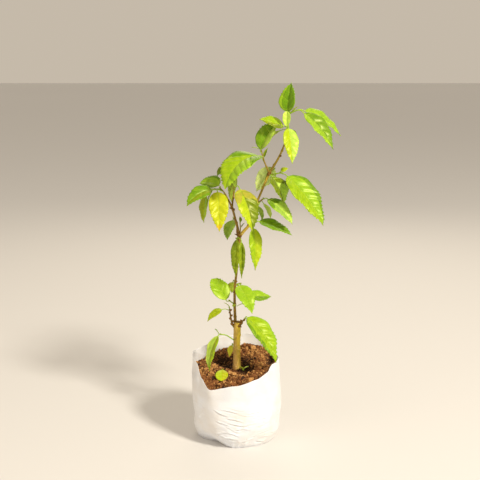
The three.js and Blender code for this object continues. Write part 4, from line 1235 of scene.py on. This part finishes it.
# %% [markdown]
# ## Crumbs, clods and fibres
# Balls would look like beads. Each crumb is a ball that random flat cuts have made angular, stretched,
# turned and half sunk into the bed. One body is made for each, so no two are alike. Most are 1 to 4 mm, the
# clods 4 to 11 mm. Crumbs on the mounds and on a patch at the left are drier and paler. The fibres are thin
# bent tubes lying on top.

# %% Crumbs and fibres
CRUMB_COUNT, GRIT_COUNT, CLOD_COUNT, FIBRE_COUNT = 4200, 90, 150, 420
CRUMB_SIZE, CRUMB_SPREAD, LARGEST_CRUMB = 0.85, 0.5, 2.6
CRUMB_CUTS = 6
FINE_CRUMB = 1.1
CLOD_SIZES = (2.0, 4.6)
BACK_CLODS = (  # x, y and size
    (-31, 55, 5.0), (-24, 60, 3.6), (-15, 60, 4.6), (-8, 61, 3.4), (9, 62, 3.6), (17, 60, 4.2), (26, 58, 3.2),
)
BACK_CLOD_FRACTION = 0.92
STEM_SPOT = (-1.5, 0.0)
STEM_CLEAR = 7.5


def ball(detail):
    mesh = bmesh.new()
    bmesh.ops.create_icosphere(mesh, subdivisions=detail, radius=1.0)
    places = np.array([vertex.co[:] for vertex in mesh.verts])
    faces = [tuple(vertex.index for vertex in face.verts) for face in mesh.faces]
    mesh.free()
    return places, faces


def crumb(centre, size, dice, shape, slot):
    """An angular chunk: a dented ball whose places are pulled back to a few flat cuts."""
    places, faces = shape
    turn, _ = np.linalg.qr(dice.normal(size=(3, 3)))
    cuts = unit(dice.normal(size=(CRUMB_CUTS, 3)))
    reach = dice.uniform(0.4, 0.85, CRUMB_CUTS)
    pulled = np.min(np.minimum(reach / np.maximum(places @ cuts.T, 1e-6), 1.0), axis=1)
    dents = np.sin(places @ dice.normal(0, 2.4, 3) + dice.uniform(0, 6))
    made = places * (pulled * (1 + 0.14 * dents))[:, None] * dice.uniform(0.6, 1.35, 3) * size
    return made @ turn + centre, faces, [slot] * len(faces)


def scattered(count, dice, reach=0.985):
    """Places on the bed, clear of the stem."""
    fraction = np.sqrt(dice.uniform(0, 1, count)) * reach
    places = mix_surface(fraction, dice.uniform(-180, 180, count))
    return places[np.hypot(places[:, 0] - STEM_SPOT[0], places[:, 1] - STEM_SPOT[1]) > STEM_CLEAR]


def crumb_slot(spot, dice):
    """Which mix a crumb is of: moist and painted shade in a hollow, more often dry on a mound or a dry patch.
    """
    # Crumbs in the hollows take the dark coir, which is moist coir and painted shade there.
    if dice.uniform() < 0.1 + 0.9 * in_hollow(spot[0], spot[1]):
        return MOIST_AND_SHADE
    dryness = 0.12 * bumps(spot[0], spot[1], MOUNDS) + bumps(spot[0], spot[1], DRY_PATCHES)
    return BROWN if dice.uniform() > 0.4 + dryness else DRY


dice = np.random.default_rng(17)
plain_ball, small_ball, big_ball = ball(1), ball(2), ball(3)
crumbs, clods, fibres = [], [], []
for spot in scattered(CRUMB_COUNT, dice):
    size = min(LARGEST_CRUMB, CRUMB_SIZE * math.exp(dice.normal(0, CRUMB_SPREAD)))
    shape = plain_ball if size < FINE_CRUMB else small_ball
    crumbs.append(crumb(spot + (0, 0, 0.3 * size), size, dice, shape, crumb_slot(spot, dice)))
for spot in scattered(GRIT_COUNT, dice):
    crumbs.append(crumb(spot + (0, 0, 0.5), dice.uniform(0.4, 0.8), dice, plain_ball, GRIT))
for spot in scattered(CLOD_COUNT, dice, 0.93):
    size = dice.uniform(*CLOD_SIZES) * (1 - 0.35 * min(1, in_hollow(spot[0], spot[1])))
    clods.append(crumb(spot + (0, 0, 0.15 * size), size, dice, big_ball, crumb_slot(spot, dice)))
for x, y, size in BACK_CLODS:
    turn = math.degrees(math.atan2(y, x - MOUTH_SHIFT))
    spot = mix_surface(np.array([BACK_CLOD_FRACTION]), np.array([turn]))[0]
    clods.append(crumb(spot + (0, 0, 0.5 * size), size, dice, big_ball, BROWN))
t = np.linspace(0, 1, 9)[:, None]
for spot in scattered(FIBRE_COUNT, dice, 0.95):
    ahead = random_direction(dice, 0.15)
    bend = 3 * dice.normal(size=3) * (1, 1, 0.3)
    line = spot + (0, 0, 0.9) + ahead * dice.uniform(4, 14) * (t - 0.5) + bend * (t - 0.5) ** 2
    radii = dice.uniform(0.16, 0.32) * (1.1 - 0.5 * t[:, 0])
    fibres.append(with_slot(tube(line, radii, 5), DRY if dice.uniform() >= 0.4 else BROWN))

half = len(crumbs) // 2
for name, shapes, finishes, smooth in (
        ("mix_crumbs_a", crumbs[:half], mix_finishes, False),
        ("mix_crumbs_b", crumbs[half:], mix_finishes, False),
        ("mix_clods", clods, mix_finishes[:GRIT], True),
        ("mix_fibres", fibres, mix_finishes[:MOIST_AND_SHADE], True)):
    make_piece(name, shapes, finishes, ["growing_mix"], smooth)
print("crumbs:", len(crumbs), "clods:", len(clods), "fibres:", len(fibres))
